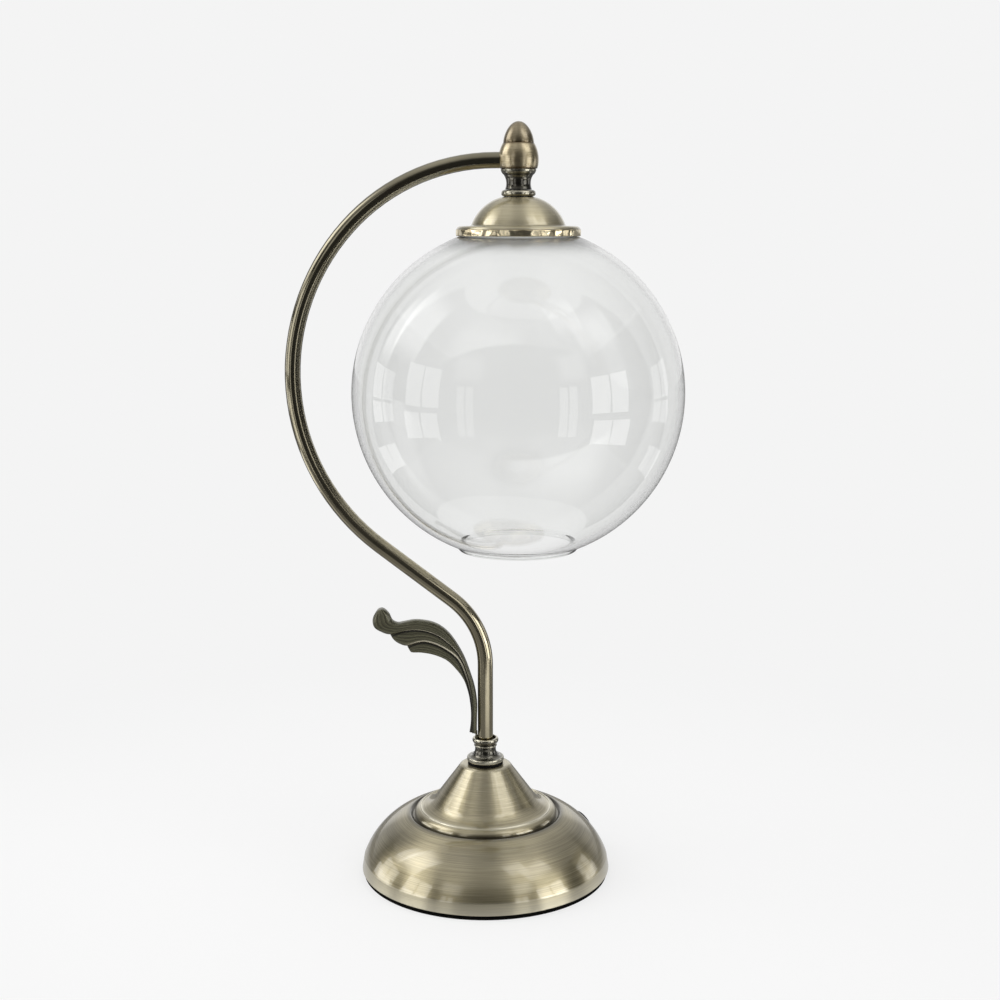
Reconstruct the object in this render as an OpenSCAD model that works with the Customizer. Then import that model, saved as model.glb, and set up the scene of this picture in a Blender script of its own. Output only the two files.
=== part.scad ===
// Glass table lamp: a clear globe hung from a swan-neck tube on a spun base, with a cast leaf at its foot.
// The origin is the middle of the pad's underside, +Z is up, and the tube lies in the XZ plane.

/* [Base] */
// How far the pad's edge lies inside the base's edge
pad_inset = 0.8; // [0.2:0.1:3]
// Thickness of the pad
pad_t = 2.4; // [1.5:0.1:3.5]
// Widest diameter of the spun dome
base_d = 124.6; // [122:0.2:128]
// Thickness of the dome's sheet
base_wall = 1.2; // [1:0.1:1.5]
// Height of the plain band above the pad
band_h = 5.6; // [4:0.2:7]
// How far the band leans in over its height
band_lean = 0.9; // [0.3:0.1:1.5]
// Radius of the dome's arc
dome_r = 38.3; // [37:0.1:40]
// Angle from which the dome's arc starts
dome_start = 20.5; // [18:0.5:22]
// Width of the rounded step between the dome's arc and the bell's seat
shoulder_w = 2.3; // [1.5:0.1:3]
// Drop from the dome's shoulder to the bell's seat
seat_drop = 1.3; // [0.8:0.1:1.6]
// Width of the lip that is rolled in under the plate
lip_w = 3.8; // [3:0.1:5]
// Thickness of the closing plate
plate_t = 1.2; // [1:0.1:1.6]
// Diameter of the cast weight
weight_d = 96; // [90:1:98]
// Height of the cast weight
weight_h = 11; // [9:0.5:11.5]
// Diameter of the hole in the middle of the weight
weight_bore_d = 24; // [20:1:28]
// Distance of the weight's screws from the middle
weight_screw_at = 36; // [28:1:40]
// Diameter of the weight's screws
weight_screw_d = 4; // [3:0.5:5]

/* [Bell] */
// Diameter over the bell's top edge
bell_top_d = 27; // [25:0.5:29]
// Thickness of the bell's sheet
bell_wall = 1; // [0.8:0.1:1.2]
// Radius of the bell's top edge
bell_edge_r = 2.7; // [2:0.1:3.5]
// Slope of the bell's side
bell_slope = 53.8; // [50:0.2:56]
// Length of the straight part of the bell's side
bell_run = 20.4; // [17:0.2:23]
// Radius of the flare
bell_flare_r = 12.6; // [10:0.2:15]
// Slope at which the flare ends
bell_end_slope = 14; // [10:1:18]
// Radius of the bell's foot
bell_foot_r = 3.7; // [3:0.1:4.5]
// Height of the plain rim under the foot
bell_rim_h = 0.6; // [0.4:0.1:1]

/* [Neck] */
// Thickness of the gasket under the neck
neck_gasket_t = 1.5; // [1:0.1:2]
// Diameter of the neck's flange
neck_flange_d = 18.4; // [17:0.2:20]
// Thickness of the neck's flange
neck_flange_t = 2.2; // [1.6:0.1:2.8]
// Diameter at the foot of the neck's flare
neck_flare_d = 16.6; // [15.6:0.2:16.8]
// Height of the neck's flare
neck_flare_h = 4.1; // [3.5:0.1:5]
// Diameter of the neck's waist
neck_waist_d = 10.4; // [10:0.1:11]
// Diameter of the small bead on top of the neck
neck_bead_d = 11.4; // [11.2:0.1:12]
// Height of the small bead
neck_bead_h = 2.4; // [2:0.1:3]
// Diameter of the collar
collar_d = 13; // [12.6:0.1:14]
// Height of the collar
collar_h = 3.2; // [2.8:0.1:4]
// Depth of the recess in the collar's top
collar_recess = 1.9; // [1.2:0.1:2.2]
// Width of the rim round that recess
collar_rim = 1.25; // [1:0.05:1.3]

/* [Arm] */
// Outer diameter of the arm's tube
tube_d = 7.6; // [7.4:0.1:7.8]
// Wall of the arm's tube
tube_wall = 0.8; // [0.6:0.1:0.9]
// Length of the upright part, from the tube's lower end
arm_upright = 44.7; // [40:0.5:50]
// Radius of the bend above the upright part
arm_bend_r = 42; // [36:1:48]
// Lean of the straight run, from upright
arm_lean = 52.5; // [48:0.5:56]
// Length of the straight run
arm_run = 44; // [38:1:50]
// Radius of the lower part of the big bow
bow_low_r = 105; // [102:1:110]
// Turn of the lower part of the big bow
bow_low_turn = 95; // [92:0.5:98]
// Radius of the upper part of the big bow
bow_top_r = 95; // [92:1:98]
// Distance from the end of the bow to the axis of the shade
ball_reach = 10.8; // [9:0.2:14]

/* [Leaf] */
// Height of the leaf above the collar
leaf_h = 66.3; // [56:0.5:68]
// Thickness of the leaf's lowest layer
leaf_t = 3.8; // [3:0.2:4.6]
// How much thicker each layer is than the one below it
leaf_step = 1.5; // [0.8:0.1:2]
// Length of the tab that the leaf has in the collar's recess
leaf_tab_h = 1.9; // [1:0.1:1.9]

/* [Ball and finial] */
// Diameter of the ball
ball_d = 19.1; // [18.4:0.1:20]
// Height of the ball above its middle
ball_up = 7.9; // [7:0.1:8.4]
// Height of the ball below its middle
ball_down = 3.9; // [3.9:0.1:4.4]
// Diameter of the finial's foot
finial_d = 14.6; // [13.6:0.1:14.8]
// Height of the finial
finial_h = 10; // [8:0.5:13]
// Diameter of the finial's stud
stud_d = 4; // [3:0.5:4.5]
// Height of the neck between the ball and the cap
spool_h = 13.3; // [12:0.1:16]
// Diameter of that neck's upper bead
spool_top_d = 17; // [16:0.1:17.4]
// Diameter of that neck's waist
spool_waist_d = 11.7; // [11.2:0.1:12.4]
// Diameter of that neck's lower bead
spool_bead_d = 16.4; // [15.6:0.1:16.8]

/* [Cap] */
// Diameter of the cap's rim
cap_d = 58.8; // [58.2:0.1:59]
// Thickness of the cap's sheet
cap_wall = 0.8; // [0.6:0.1:1]
// Diameter of the flat on top of the cap
cap_flat_d = 17; // [16.6:0.1:18]
// Radius of the cap's dome
cap_r = 20.8; // [20.4:0.1:21.4]
// Distance of that radius's centre from the axis
cap_offset = 2.8; // [2.4:0.1:3.2]
// Depth of the cap from its flat to the top of its brim
cap_depth = 13.2; // [12.8:0.1:14]
// Height of the brim's rounded edge
brim_h = 1.6; // [1.4:0.1:2]
// Diameter of the polished ring
ring_d = 59.2; // [59:0.1:60]
// Height of the polished ring under the brim
ring_h = 3.2; // [3:0.1:3.8]
// Inner diameter of the polished ring
ring_bore_d = 55.6; // [55.4:0.1:56]
// Width of the polished ring's bottom edge
ring_edge = 0.5; // [0.4:0.1:0.8]
// Thickness of the gasket above the glass
shade_gasket_t = 0.8; // [0.6:0.1:1]
// Width of a spring clip
clip_w = 5; // [4:0.5:6]
// Thickness of a spring clip
clip_t = 0.5; // [0.4:0.1:0.6]
// Height of a spring clip
clip_h = 3.6; // [3:0.1:3.8]

/* [Globe] */
// Diameter of the globe
globe_d = 160; // [156:1:164]
// Thickness of the glass
glass_wall = 2.7; // [2:0.1:3]
// Outer diameter of the glass neck
glass_neck_d = 54.4; // [53.6:0.2:54.8]
// Outer diameter of the lip round the opening below
lip_d = 58.4; // [54:0.2:62]
// Depth of that lip below the globe
lip_h = 1.5; // [1:0.1:3]

/* [Lamp holder and wiring] */
// Diameter of the threaded pipes
pipe_d = 8; // [7.8:0.1:8]
// Bore of the threaded pipes
pipe_bore_d = 5.8; // [5.4:0.1:6]
// Height of the nuts on the threaded pipes
nut_h = 3.5; // [3:0.1:4]
// Width of those nuts across their corners
nut_d = 13.8; // [13:0.2:15]
// Thickness of the toothed washers
washer_t = 1; // [0.8:0.1:1.2]
// Thickness of the bracket's strip
bracket_t = 1; // [0.8:0.1:1.2]
// Width of the bracket's strip
bracket_w = 8; // [6:0.5:8]
// Diameter of the ceramic lamp holder
holder_d = 16.6; // [16:0.2:16.8]
// Height of the ceramic lamp holder
holder_h = 10.2; // [9.6:0.1:10.4]
// Distance between the holder's two pins
pin_pitch = 9; // [8.6:0.1:9.2]
// Diameter of the holder's pin holes
pin_d = 2.6; // [2.2:0.1:2.8]
// Diameter over the insulation of a lead
lead_d = 2; // [1.6:0.1:2.2]
// Distance between the two leads in the tube
lead_pitch = 2.3; // [2.25:0.05:2.5]
// Radius of the tight bends of the leads
lead_bend_r = 4.5; // [4.2:0.1:5]
// Distance of the terminal block from the lamp's axis
terminal_at = 22; // [20:0.5:24]
// Length of the terminal block
terminal_l = 16; // [14:0.5:18]
// Width of the terminal block
terminal_w = 18; // [16:0.5:20]
// Height of the terminal block
terminal_h = 8.6; // [8:0.1:9]
// Distance between the two terminals
terminal_pitch = 9; // [8.6:0.1:10]
// Diameter of the cord's inlet
inlet_bore_d = 5.4; // [4.5:0.1:6]
// Direction of the cord's inlet, behind the right side
inlet_azimuth = 30; // [20:5:90]
// Angle of the inlet on the dome's arc
inlet_angle = 30; // [29.5:0.5:33]

/* [Fits] */
// Radial clearance of a round piece in its hole
fit = 0.05; // [0.02:0.01:0.08]
// Gap between pieces that lie close without touching
gap = 0.3; // [0.2:0.05:0.4]

/* [Hidden] */
$fn = 96;

// Colours of the finishes
antique = [0.56, 0.52, 0.38];
dark_antique = [0.26, 0.25, 0.19];
bright_brass = [0.85, 0.72, 0.42];
steel = [0.66, 0.67, 0.68];
ceramic = [0.93, 0.92, 0.88];

// Dome of the base
pad_d = base_d - 2 * pad_inset;
seat_play = 0.4;
shoulder_inset = 0.4;
shoulder_rise = 0.07;
plate_z = pad_t + 1;
band_top_r = base_d / 2 - band_lean;
band_top_z = pad_t + band_h;
dome_x = band_top_r - dome_r * cos(dome_start);
dome_z = band_top_z - dome_r * sin(dome_start);
bell_side_x = bell_top_d / 2 - bell_edge_r * (1 - sin(bell_slope));
bell_flare_x = bell_side_x + bell_run * cos(bell_slope) + bell_flare_r * sin(bell_slope);
bell_end_x = bell_flare_x - bell_flare_r * sin(bell_end_slope);
bell_foot_d = 2 * (bell_end_x + bell_foot_r);
seat_r = bell_foot_d / 2 + seat_play;
shoulder_r = seat_r + shoulder_w;
shoulder_angle = acos((shoulder_r - dome_x) / dome_r);
shoulder_z = dome_z + dome_r * sin(shoulder_angle);
seat_z = shoulder_z - seat_drop;
weight_z = plate_z + plate_t;
weight_top_z = weight_z + weight_h;
weight_screw_l = weight_h - 2;
base_washer_d = 18;
screw_head_h = 1.6;
screw_head_d = 1.8 * weight_screw_d;

// Bell of the base, worked down from its top
bell_edge_drop = bell_edge_r * (1 - cos(bell_slope));
bell_run_drop = bell_run * sin(bell_slope);
bell_flare_drop = bell_flare_r * (cos(bell_end_slope) - cos(bell_slope));
bell_h = bell_edge_drop + bell_run_drop + bell_flare_drop + bell_foot_r + bell_rim_h;
bell_top_z = seat_z + bell_h;
bell_end_z = seat_z + bell_rim_h + bell_foot_r;
bell_flare_z = bell_end_z + bell_flare_r * cos(bell_end_slope);

// Neck and collar
neck_z = bell_top_z + neck_gasket_t;
neck_h = neck_flange_t + neck_flare_h + neck_bead_h;
collar_z = neck_z + neck_h;
collar_top_z = collar_z + collar_h;
pipe_seat_h = 4.3;
pipe_web = 0.6;

// Arm, followed from its lower end to the ball
arm_z = neck_z + pipe_seat_h + pipe_web;
bow_top_turn = 90 + arm_lean - bow_low_turn;
bow_mid = bow_low_turn - arm_lean;
bow_low_x = bow_low_r * (cos(arm_lean) - cos(bow_mid));
bow_low_z = bow_low_r * (sin(bow_mid) + sin(arm_lean));
bow_end_x = -arm_bend_r * (1 - cos(arm_lean)) - arm_run * sin(arm_lean) + bow_low_x
    + bow_top_r * cos(bow_mid);
bow_end_z = arm_z + arm_upright + arm_bend_r * sin(arm_lean) + arm_run * cos(arm_lean) + bow_low_z
    + bow_top_r * (1 - sin(bow_mid));
shade_x = bow_end_x + ball_reach;
ball_z = bow_end_z;
tube_bore_d = tube_d - 2 * tube_wall;
tube_end = pipe_d / 2 + 0.6;
arm_stub = ball_reach - tube_end;
bow = [[arm_bend_r, arm_lean, 180], [arm_run], [bow_low_r, bow_low_turn, 0],
    [bow_top_r, bow_top_turn, 0]];

// Stack from the ball down to the globe
spool_top_z = ball_z - ball_down;
cap_z = spool_top_z - spool_h;
cap_centre_z = cap_z - sqrt(pow(cap_r, 2) - pow(cap_flat_d / 2 - cap_offset, 2));
brim_z = cap_z - cap_depth;
ring_top_z = brim_z - brim_h;
ring_z = ring_top_z - ring_h;
brim_under_z = brim_z - cap_wall;
spigot_d = cap_d - 2 * cap_wall - 2 * fit;
globe_z = ring_z - gap - 0.2 - sqrt(pow(globe_d / 2, 2) - pow(ring_d / 2 - ring_edge, 2));
glass_top_z = brim_under_z - shade_gasket_t - gap;
glass_bore_d = glass_neck_d - 2 * glass_wall + 0.4;
lip_bottom_z = globe_z - sqrt(pow(globe_d, 2) - pow(lip_d, 2)) / 2 - lip_h;
clip_nose_r = glass_bore_d / 2 - gap - 0.2;
top_washer_d = 14;

// Lamp holder inside the cap
bracket_z = cap_z - cap_wall - washer_t - bracket_t;
bracket_l = holder_d + 2 * gap + 2 * bracket_t;
top_pipe_z = bracket_z - nut_h - 0.6;
holder_z = ring_z + 0.2;
holder_top_z = holder_z + holder_h;
holder_screw_z = holder_z + 4.6;
holder_screw_d = 2.5;
well_d = 6.4;
well_z = holder_top_z - 3;
contact_wall = 0.6;
contact_d = pin_d + 2 * contact_wall;
contact_z = holder_z + 1.6;
contact_tab_t = 0.8;
lead_top_z = well_z + contact_tab_t;

// Terminal block on the weight
terminal_z = weight_top_z + 3.1;
terminal_tube_d = 4.8;
terminal_bore_d = lead_d + 0.6;
terminal_screw_d = 2.5;
terminal_inset = 1;
block_top_z = weight_top_z + terminal_h;
fixing_d = 2.5;
fixing_depth = 6.5;
fixing_sink = 2;
base_pipe_z = seat_z - base_wall - washer_t - nut_h - 0.6;
lead_swing_r = 6;
step_lap = 0.2;
lead_joint = 0.8;
lead_shift = (terminal_pitch - lead_pitch) / 2;
lead_swing = acos((2 * lead_swing_r - lead_shift) / norm([2 * lead_swing_r, lead_joint]))
    - atan(lead_joint / (2 * lead_swing_r));
lead_start_x = terminal_at + terminal_l / 2 - 1;
lead_swing_l = 2 * lead_swing_r * sin(lead_swing);
lead_mid = lead_joint * cos(lead_swing);
lead_run_in = lead_start_x - lead_bend_r - lead_swing_l - lead_mid - 1.5;

// Cord inlet in the dome
grommet_body_d = inlet_bore_d + 3;
grommet_flange_d = grommet_body_d + 3;
grommet_flange_t = 1.2;

// Points of an arc round [x, y] from one angle to another
function arc(x, y, r, from, to, n = 16) =
    [for (i = [0:n]) let (a = from + (to - from) * i / n) [x + r * cos(a), y + r * sin(a)]];

// Points of an S-shaped step between two points
function ease(p, q, n = 8) =
    [for (i = [0:n]) [p[0] + (q[0] - p[0]) * i / n, p[1] + (q[1] - p[1]) * (1 - cos(180 * i / n)) / 2]];

// Points of a smooth curve through the points p
function smooth(p, n = 5) = concat([for (i = [0:len(p) - 2])
    let (a = p[max(i - 1, 0)], b = p[i], c = p[i + 1], d = p[min(i + 2, len(p) - 1)])
    for (k = [0:n - 1]) let (t = k / n)
    0.5 * (2 * b + (c - a) * t + (2 * a - 5 * b + 4 * c - d) * t * t
        + (3 * b - a - 3 * c + d) * t * t * t)], [p[len(p) - 1]]);

function reversed(p) = [for (i = [len(p) - 1:-1:0]) p[i]];

// Face of the dome at a depth w below its outer face, from the seat's edge down to the band's top
function dome_face(w) = concat(
    ease([seat_r, seat_z - w], [shoulder_r - shoulder_inset, shoulder_z - w + shoulder_rise]),
    arc(dome_x, dome_z, dome_r - w, shoulder_angle, dome_start, 28));

// Face of the bell at a depth w below its outer face, from its top down to its foot
function bell_face(w) = concat(
    arc(bell_top_d / 2 - bell_edge_r, bell_top_z - bell_edge_r, bell_edge_r - w, 90, 90 - bell_slope, 6),
    arc(bell_flare_x, bell_flare_z, bell_flare_r + w, 270 - bell_slope, 270 - bell_end_slope, 12),
    arc(bell_end_x, bell_end_z - bell_foot_r, bell_foot_r - w, 90 - 6 * w, 0, 8));

// A bar of diameter d along a list of steps: [length] is straight and [radius, angle, side] is a bend.
// Every other step is a hair thinner and laps into its neighbours, so that the steps join cleanly.
module along(steps, d, k = 0) {
    if (k < len(steps)) {
        step = steps[k];
        thin = k % 2;
        lap = step_lap * thin;
        if (len(step) == 1) {
            translate([0, 0, -lap]) cylinder(d = d - 0.02 * thin, h = step[0] + 2 * lap, $fn = 24);
            translate([0, 0, step[0]]) along(steps, d, k + 1);
        } else {
            extra = lap / step[0] * 180 / PI;
            rotate(step[2]) translate([step[0], 0, 0]) {
                rotate([0, -extra, 0]) rotate([90, 0, 180])
                    rotate_extrude(angle = step[1] + 2 * extra, $fn = 180)
                        translate([step[0], 0]) circle(d = d - 0.02 * thin, $fn = 24);
                rotate([0, step[1], 0]) translate([-step[0], 0, 0]) rotate(-step[2])
                    along(steps, d, k + 1);
            }
        }
    }
}

module spun(points) {
    rotate_extrude() polygon(points);
}

module ring(outer_d, inner_d, h) {
    difference() {
        cylinder(d = outer_d, h = h);
        translate([0, 0, -1]) cylinder(d = inner_d, h = h + 2);
    }
}

module hex_nut() {
    difference() {
        cylinder(d = nut_d, h = nut_h, $fn = 6);
        translate([0, 0, -1]) cylinder(d = pipe_d + 2 * fit, h = nut_h + 2);
    }
}

// Lock washer with notches round its edge
module toothed_washer(d) {
    difference() {
        cylinder(d = d, h = washer_t);
        translate([0, 0, -1]) cylinder(d = pipe_d + 2 * fit, h = washer_t + 2);
        for (a = [0:30:330])
            rotate(a) translate([d / 2, 0, washer_t / 2]) cube([2, 1.2, washer_t + 2], center = true);
    }
}

module pipe(h) {
    ring(pipe_d, pipe_bore_d, h);
}

// Places what repeats on the weight's screws
module at_weight_screws() {
    for (a = [90, 210, 330]) rotate(a) translate([weight_screw_at, 0, plate_z]) children();
}

// Countersunk screw that grows by a clearance to make its hole
module weight_screw(c = 0) {
    cylinder(d = weight_screw_d + 2 * c, h = weight_screw_l + c);
    cylinder(d1 = screw_head_d + 2 * c, d2 = weight_screw_d + 2 * c, h = screw_head_h);
}

// Frame of the cord's inlet: its Z axis is square to the dome's face
module at_inlet() {
    rotate(inlet_azimuth) translate([dome_x, 0, dome_z]) rotate([0, 90 - inlet_angle, 0]) children();
}

module foot_pad() {
    color("black") cylinder(d = pad_d, h = pad_t);
}

module base_plate() {
    lean = band_lean * (plate_z + plate_t - pad_t) / band_h;
    color(steel) difference() {
        translate([0, 0, plate_z]) cylinder(r = base_d / 2 - lean - base_wall - gap, h = plate_t);
        at_weight_screws() weight_screw(fit);
    }
}

module base_weight() {
    chamfer = 1.5;
    color("dimgray") difference() {
        translate([0, 0, weight_z]) {
            cylinder(d = weight_d, h = weight_h - chamfer);
            translate([0, 0, weight_h - chamfer])
                cylinder(d1 = weight_d, d2 = weight_d - 2 * chamfer, h = chamfer);
        }
        cylinder(d = weight_bore_d, h = weight_top_z + 1);
        at_weight_screws() weight_screw(fit);
        translate([terminal_at + terminal_l / 2, 0, weight_top_z - fixing_depth - gap])
            cylinder(d = fixing_d + 2 * fit, h = fixing_depth + 2);
    }
}

module weight_screws() {
    color(steel) at_weight_screws() difference() {
        weight_screw();
        cube([4, 0.8, 1.4], center = true);
    }
}

module base_dome() {
    lip_top = plate_z - pad_t;
    inner_foot = base_d / 2 - base_wall - band_lean * lip_top / band_h;
    color(antique) difference() {
        spun(concat(
            [[pipe_d / 2 + fit, seat_z]], dome_face(0), [[base_d / 2, pad_t],
            [base_d / 2 - lip_w, pad_t], [base_d / 2 - lip_w, plate_z], [inner_foot, plate_z]],
            reversed(dome_face(base_wall)), [[pipe_d / 2 + fit, seat_z - base_wall]]));
        at_inlet() translate([0, 0, dome_r / 2]) cylinder(d = grommet_body_d + 2 * fit, h = dome_r);
    }
}

module base_bell() {
    color(antique) spun(concat(
        [[pipe_d / 2 + fit, bell_top_z]], bell_face(0), [[bell_foot_d / 2, seat_z],
        [bell_foot_d / 2 - bell_wall, seat_z]],
        reversed(bell_face(bell_wall)), [[pipe_d / 2 + fit, bell_top_z - bell_wall]]));
}

module base_pipe() {
    color(steel) translate([0, 0, base_pipe_z]) pipe(neck_z + pipe_seat_h - gap - base_pipe_z);
}

module base_washer() {
    color(steel) translate([0, 0, seat_z - base_wall - washer_t]) toothed_washer(base_washer_d);
}

module base_nut() {
    color("goldenrod") translate([0, 0, seat_z - base_wall - washer_t - nut_h]) hex_nut();
}

module cord_grommet() {
    inner_face = sqrt(pow(dome_r - base_wall, 2) - pow(grommet_flange_d / 2, 2)) - fit;
    color("black") at_inlet() difference() {
        union() {
            translate([0, 0, inner_face - grommet_flange_t])
                cylinder(d = grommet_body_d, h = dome_r - inner_face + 2 * grommet_flange_t);
            translate([0, 0, inner_face - grommet_flange_t])
                cylinder(d = grommet_flange_d, h = grommet_flange_t);
            translate([0, 0, dome_r + fit])
                cylinder(d1 = grommet_flange_d, d2 = grommet_flange_d - 1.6, h = grommet_flange_t);
        }
        translate([0, 0, dome_r / 2]) cylinder(d = inlet_bore_d, h = dome_r);
    }
}

// Places what repeats on the two terminals, with X along each terminal
module at_terminals() {
    for (side = [-1, 1]) translate([terminal_at, side * terminal_pitch / 2, terminal_z]) children();
}

module at_terminal_screws() {
    at_terminals() for (x = [0.28, 0.72]) translate([terminal_l * x, 0, 0]) children();
}

module terminal_block() {
    color("ivory") difference() {
        translate([terminal_at, -terminal_w / 2, weight_top_z]) cube([terminal_l, terminal_w, terminal_h]);
        at_terminals() translate([-1, 0, 0]) rotate([0, 90, 0])
            cylinder(d = terminal_tube_d + 2 * fit, h = terminal_l + 2);
        at_terminal_screws() cylinder(d = terminal_screw_d + 0.6, h = terminal_h);
        translate([terminal_at + terminal_l / 2, 0, weight_top_z - 1]) {
            cylinder(d = fixing_d + 2 * fit, h = terminal_h + 2);
            translate([0, 0, terminal_h + 1 - fixing_sink]) cylinder(d = 2 * fixing_d + 2 * fit, h = 3);
        }
    }
}

module terminal_tubes() {
    color(bright_brass) difference() {
        at_terminals() translate([terminal_inset, 0, 0]) rotate([0, 90, 0])
            ring(terminal_tube_d, terminal_bore_d, terminal_l - 2 * terminal_inset);
        at_terminal_screws() cylinder(d = terminal_screw_d + 2 * fit, h = terminal_h);
    }
}

module terminal_screws() {
    tip = lead_d / 2 + fit;
    color(steel) at_terminal_screws() translate([0, 0, tip]) difference() {
        cylinder(d = terminal_screw_d, h = block_top_z - terminal_z - tip - 1);
        translate([0, 0, block_top_z - terminal_z - tip - 1]) cube([3, 0.6, 1.4], center = true);
    }
}

module terminal_fixing_screw() {
    head_h = 1.4;
    shank_l = terminal_h - fixing_sink + fixing_depth;
    color(steel) translate([terminal_at + terminal_l / 2, 0, block_top_z - fixing_sink]) difference() {
        union() {
            translate([0, 0, -shank_l]) cylinder(d = fixing_d, h = shank_l);
            cylinder(d = 2 * fixing_d, h = head_h);
        }
        translate([0, 0, head_h]) cube([3.6, 0.7, 1.2], center = true);
    }
}

module neck_gasket() {
    color("black") translate([0, 0, bell_top_z]) ring(neck_flange_d - 0.8, pipe_d + 2 * fit, neck_gasket_t);
}

module neck_flare() {
    edge = 0.5;
    flare_w = (neck_flare_d - neck_waist_d) / 2;
    flare = [for (a = [0:10:90])
        [neck_flare_d / 2 - flare_w * sin(a), neck_flange_t + neck_flare_h * (1 - cos(a))]];
    bead = arc(neck_bead_d / 2 - 0.6, neck_h - 0.7, 0.6, -90, 90, 10);
    color(antique) translate([0, 0, neck_z]) difference() {
        spun(concat([[0, 0], [neck_flange_d / 2 - edge, 0]],
            arc(neck_flange_d / 2 - edge, edge, edge, -90, 0, 4),
            arc(neck_flange_d / 2 - edge, neck_flange_t - edge, edge, 0, 90, 4),
            flare, [[neck_waist_d / 2, neck_h - 1.3]], bead,
            [[neck_bead_d / 2 - 0.7, neck_h], [0, neck_h]]));
        translate([0, 0, -1]) cylinder(d = pipe_d + 2 * fit, h = pipe_seat_h + 1);
        cylinder(d = tube_bore_d, h = neck_h);
        translate([0, 0, pipe_seat_h + pipe_web]) cylinder(d = tube_d + 2 * fit, h = neck_h);
    }
}

module neck_collar() {
    r = collar_d / 2;
    recess_r = r - collar_rim;
    color(antique) translate([0, 0, collar_z]) spun(concat(
        [[tube_d / 2 + fit, 0], [neck_bead_d / 2 - 0.4, 0]],
        smooth([[neck_bead_d / 2 - 0.2, 0.1], [r - 0.45, 0.22 * collar_h], [r, 0.55 * collar_h],
            [r - 0.15, 0.85 * collar_h], [r - 0.6, collar_h]], 4),
        [[recess_r, collar_h], [recess_r, collar_h - collar_recess],
        [tube_d / 2 + fit, collar_h - collar_recess]]));
}

// Outlines of the leaf, measured from the tube's left side and the collar's top, before it is scaled
leaf_back = [[-0.5, 2], [-0.4, 10], [-0.3, 18], [-1.4, 26], [-3.8, 34], [-6.7, 41.8], [-10.3, 48.6],
    [-14.3, 54.2], [-18.8, 57.9], [-23.8, 59.9], [-30.4, 60.7], [-35.4, 59.9], [-39, 59.2], [-42, 60.5],
    [-43.6, 63.8], [-46, 66.1], [-49.6, 65.4], [-51.8, 61.2], [-51.2, 57], [-47.8, 54.6], [-43.2, 53.3]];
leaf_ridge_1 = [[-43.2, 53.3], [-36.5, 55.2], [-30.4, 55.7], [-24, 54.6], [-17.8, 51.6], [-9.8, 44.2],
    [-5.4, 34], [-3, 22], [-2.2, 12], [-2.2, 2]];
leaf_edge_2 = [[-43.2, 53.3], [-41.4, 50.4], [-38.6, 48.4], [-34.9, 47.4]];
leaf_ridge_2 = [[-34.9, 47.4], [-30, 48.9], [-25.4, 49.2], [-17.8, 46.4], [-10.2, 40.6], [-6.2, 32],
    [-3.8, 22], [-2.8, 12], [-2.8, 2]];
leaf_edge_3 = [[-34.9, 47.4], [-33.9, 45.4], [-32.6, 44]];
leaf_front = [[-32.6, 44], [-27.9, 43.8], [-21.9, 42.7], [-15.4, 39.9], [-10.3, 34.8], [-6.8, 29.6],
    [-4.7, 23.2], [-3.8, 17.8], [-3.4, 12.6], [-3.6, 7], [-4.2, 2.6]];
leaf_tail = [[-4.2, 2.6], [-3.6, 1.4], [-0.6, 1]];
leaf_span = 66.3;

module leaf_layer(points, t) {
    rotate([90, 0, 0]) translate([0, 0, -t / 2]) linear_extrude(height = t) polygon(points);
}

module leaf() {
    tab_w = collar_d / 2 - collar_rim - tube_d / 2 - 0.4;
    tab_r = collar_d / 2 - collar_rim - fit;
    back = smooth(leaf_back);
    color(dark_antique) {
        translate([-tube_d / 2, 0, collar_top_z]) scale(leaf_h / leaf_span) {
            leaf_layer(concat(back, smooth(leaf_edge_2), smooth(leaf_edge_3), smooth(leaf_front),
                leaf_tail), leaf_t);
            leaf_layer(concat(back, smooth(leaf_edge_2), smooth(leaf_ridge_2)), leaf_t + leaf_step);
            leaf_layer(concat(back, smooth(leaf_ridge_1)), leaf_t + 2 * leaf_step);
        }
        translate([-tube_d / 2 - 0.2 - tab_w, -1, collar_top_z - leaf_tab_h])
            cube([tab_w, 2, leaf_tab_h + 3.2 * leaf_h / leaf_span]);
    }
}

module arm_tube() {
    color(antique) translate([0, 0, arm_z]) difference() {
        along(concat([[arm_upright]], bow, [[arm_stub]]), tube_d);
        translate([0, 0, -1]) along(concat([[arm_upright + 1]], bow, [[arm_stub + 2]]), tube_bore_d);
    }
}

// Half of the ball's outline, two half ellipses that meet at its middle
module ball() {
    r = ball_d / 2;
    lower_h = 10.2;
    upper_h = ball_up / sqrt(1 - pow((finial_d / 2 + 0.05) / r, 2));
    low = -asin(ball_down / lower_h);
    high = asin(ball_up / upper_h);
    lower = [for (i = [0:6]) let (a = low * (1 - i / 6)) [r * cos(a), lower_h * sin(a)]];
    upper = [for (i = [1:12]) let (a = high * i / 12) [r * cos(a), upper_h * sin(a)]];
    color(antique) translate([shade_x, 0, ball_z]) difference() {
        spun(concat([[0, -ball_down]], lower, upper, [[0, ball_up]]));
        translate([0, 0, -ball_down - 1]) cylinder(d = pipe_d + 2 * fit, h = ball_down + 1 + stud_d);
        rotate([0, -90, 0]) cylinder(d = tube_d + 2 * fit, h = ball_d);
        cylinder(d = stud_d + 2 * fit, h = ball_up + 1);
    }
}

module finial() {
    outline = [for (i = [0:16]) let (t = pow(i / 16, 0.7))
        [finial_d / 2 * sqrt(1 - pow(t, 1.6)), finial_h * t]];
    stud_l = ball_up - stud_d + 0.2;
    color(antique) translate([shade_x, 0, ball_z + ball_up]) {
        spun(concat([[0, 0]], outline));
        translate([0, 0, -stud_l]) cylinder(d = stud_d, h = stud_l + 1);
    }
}

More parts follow.
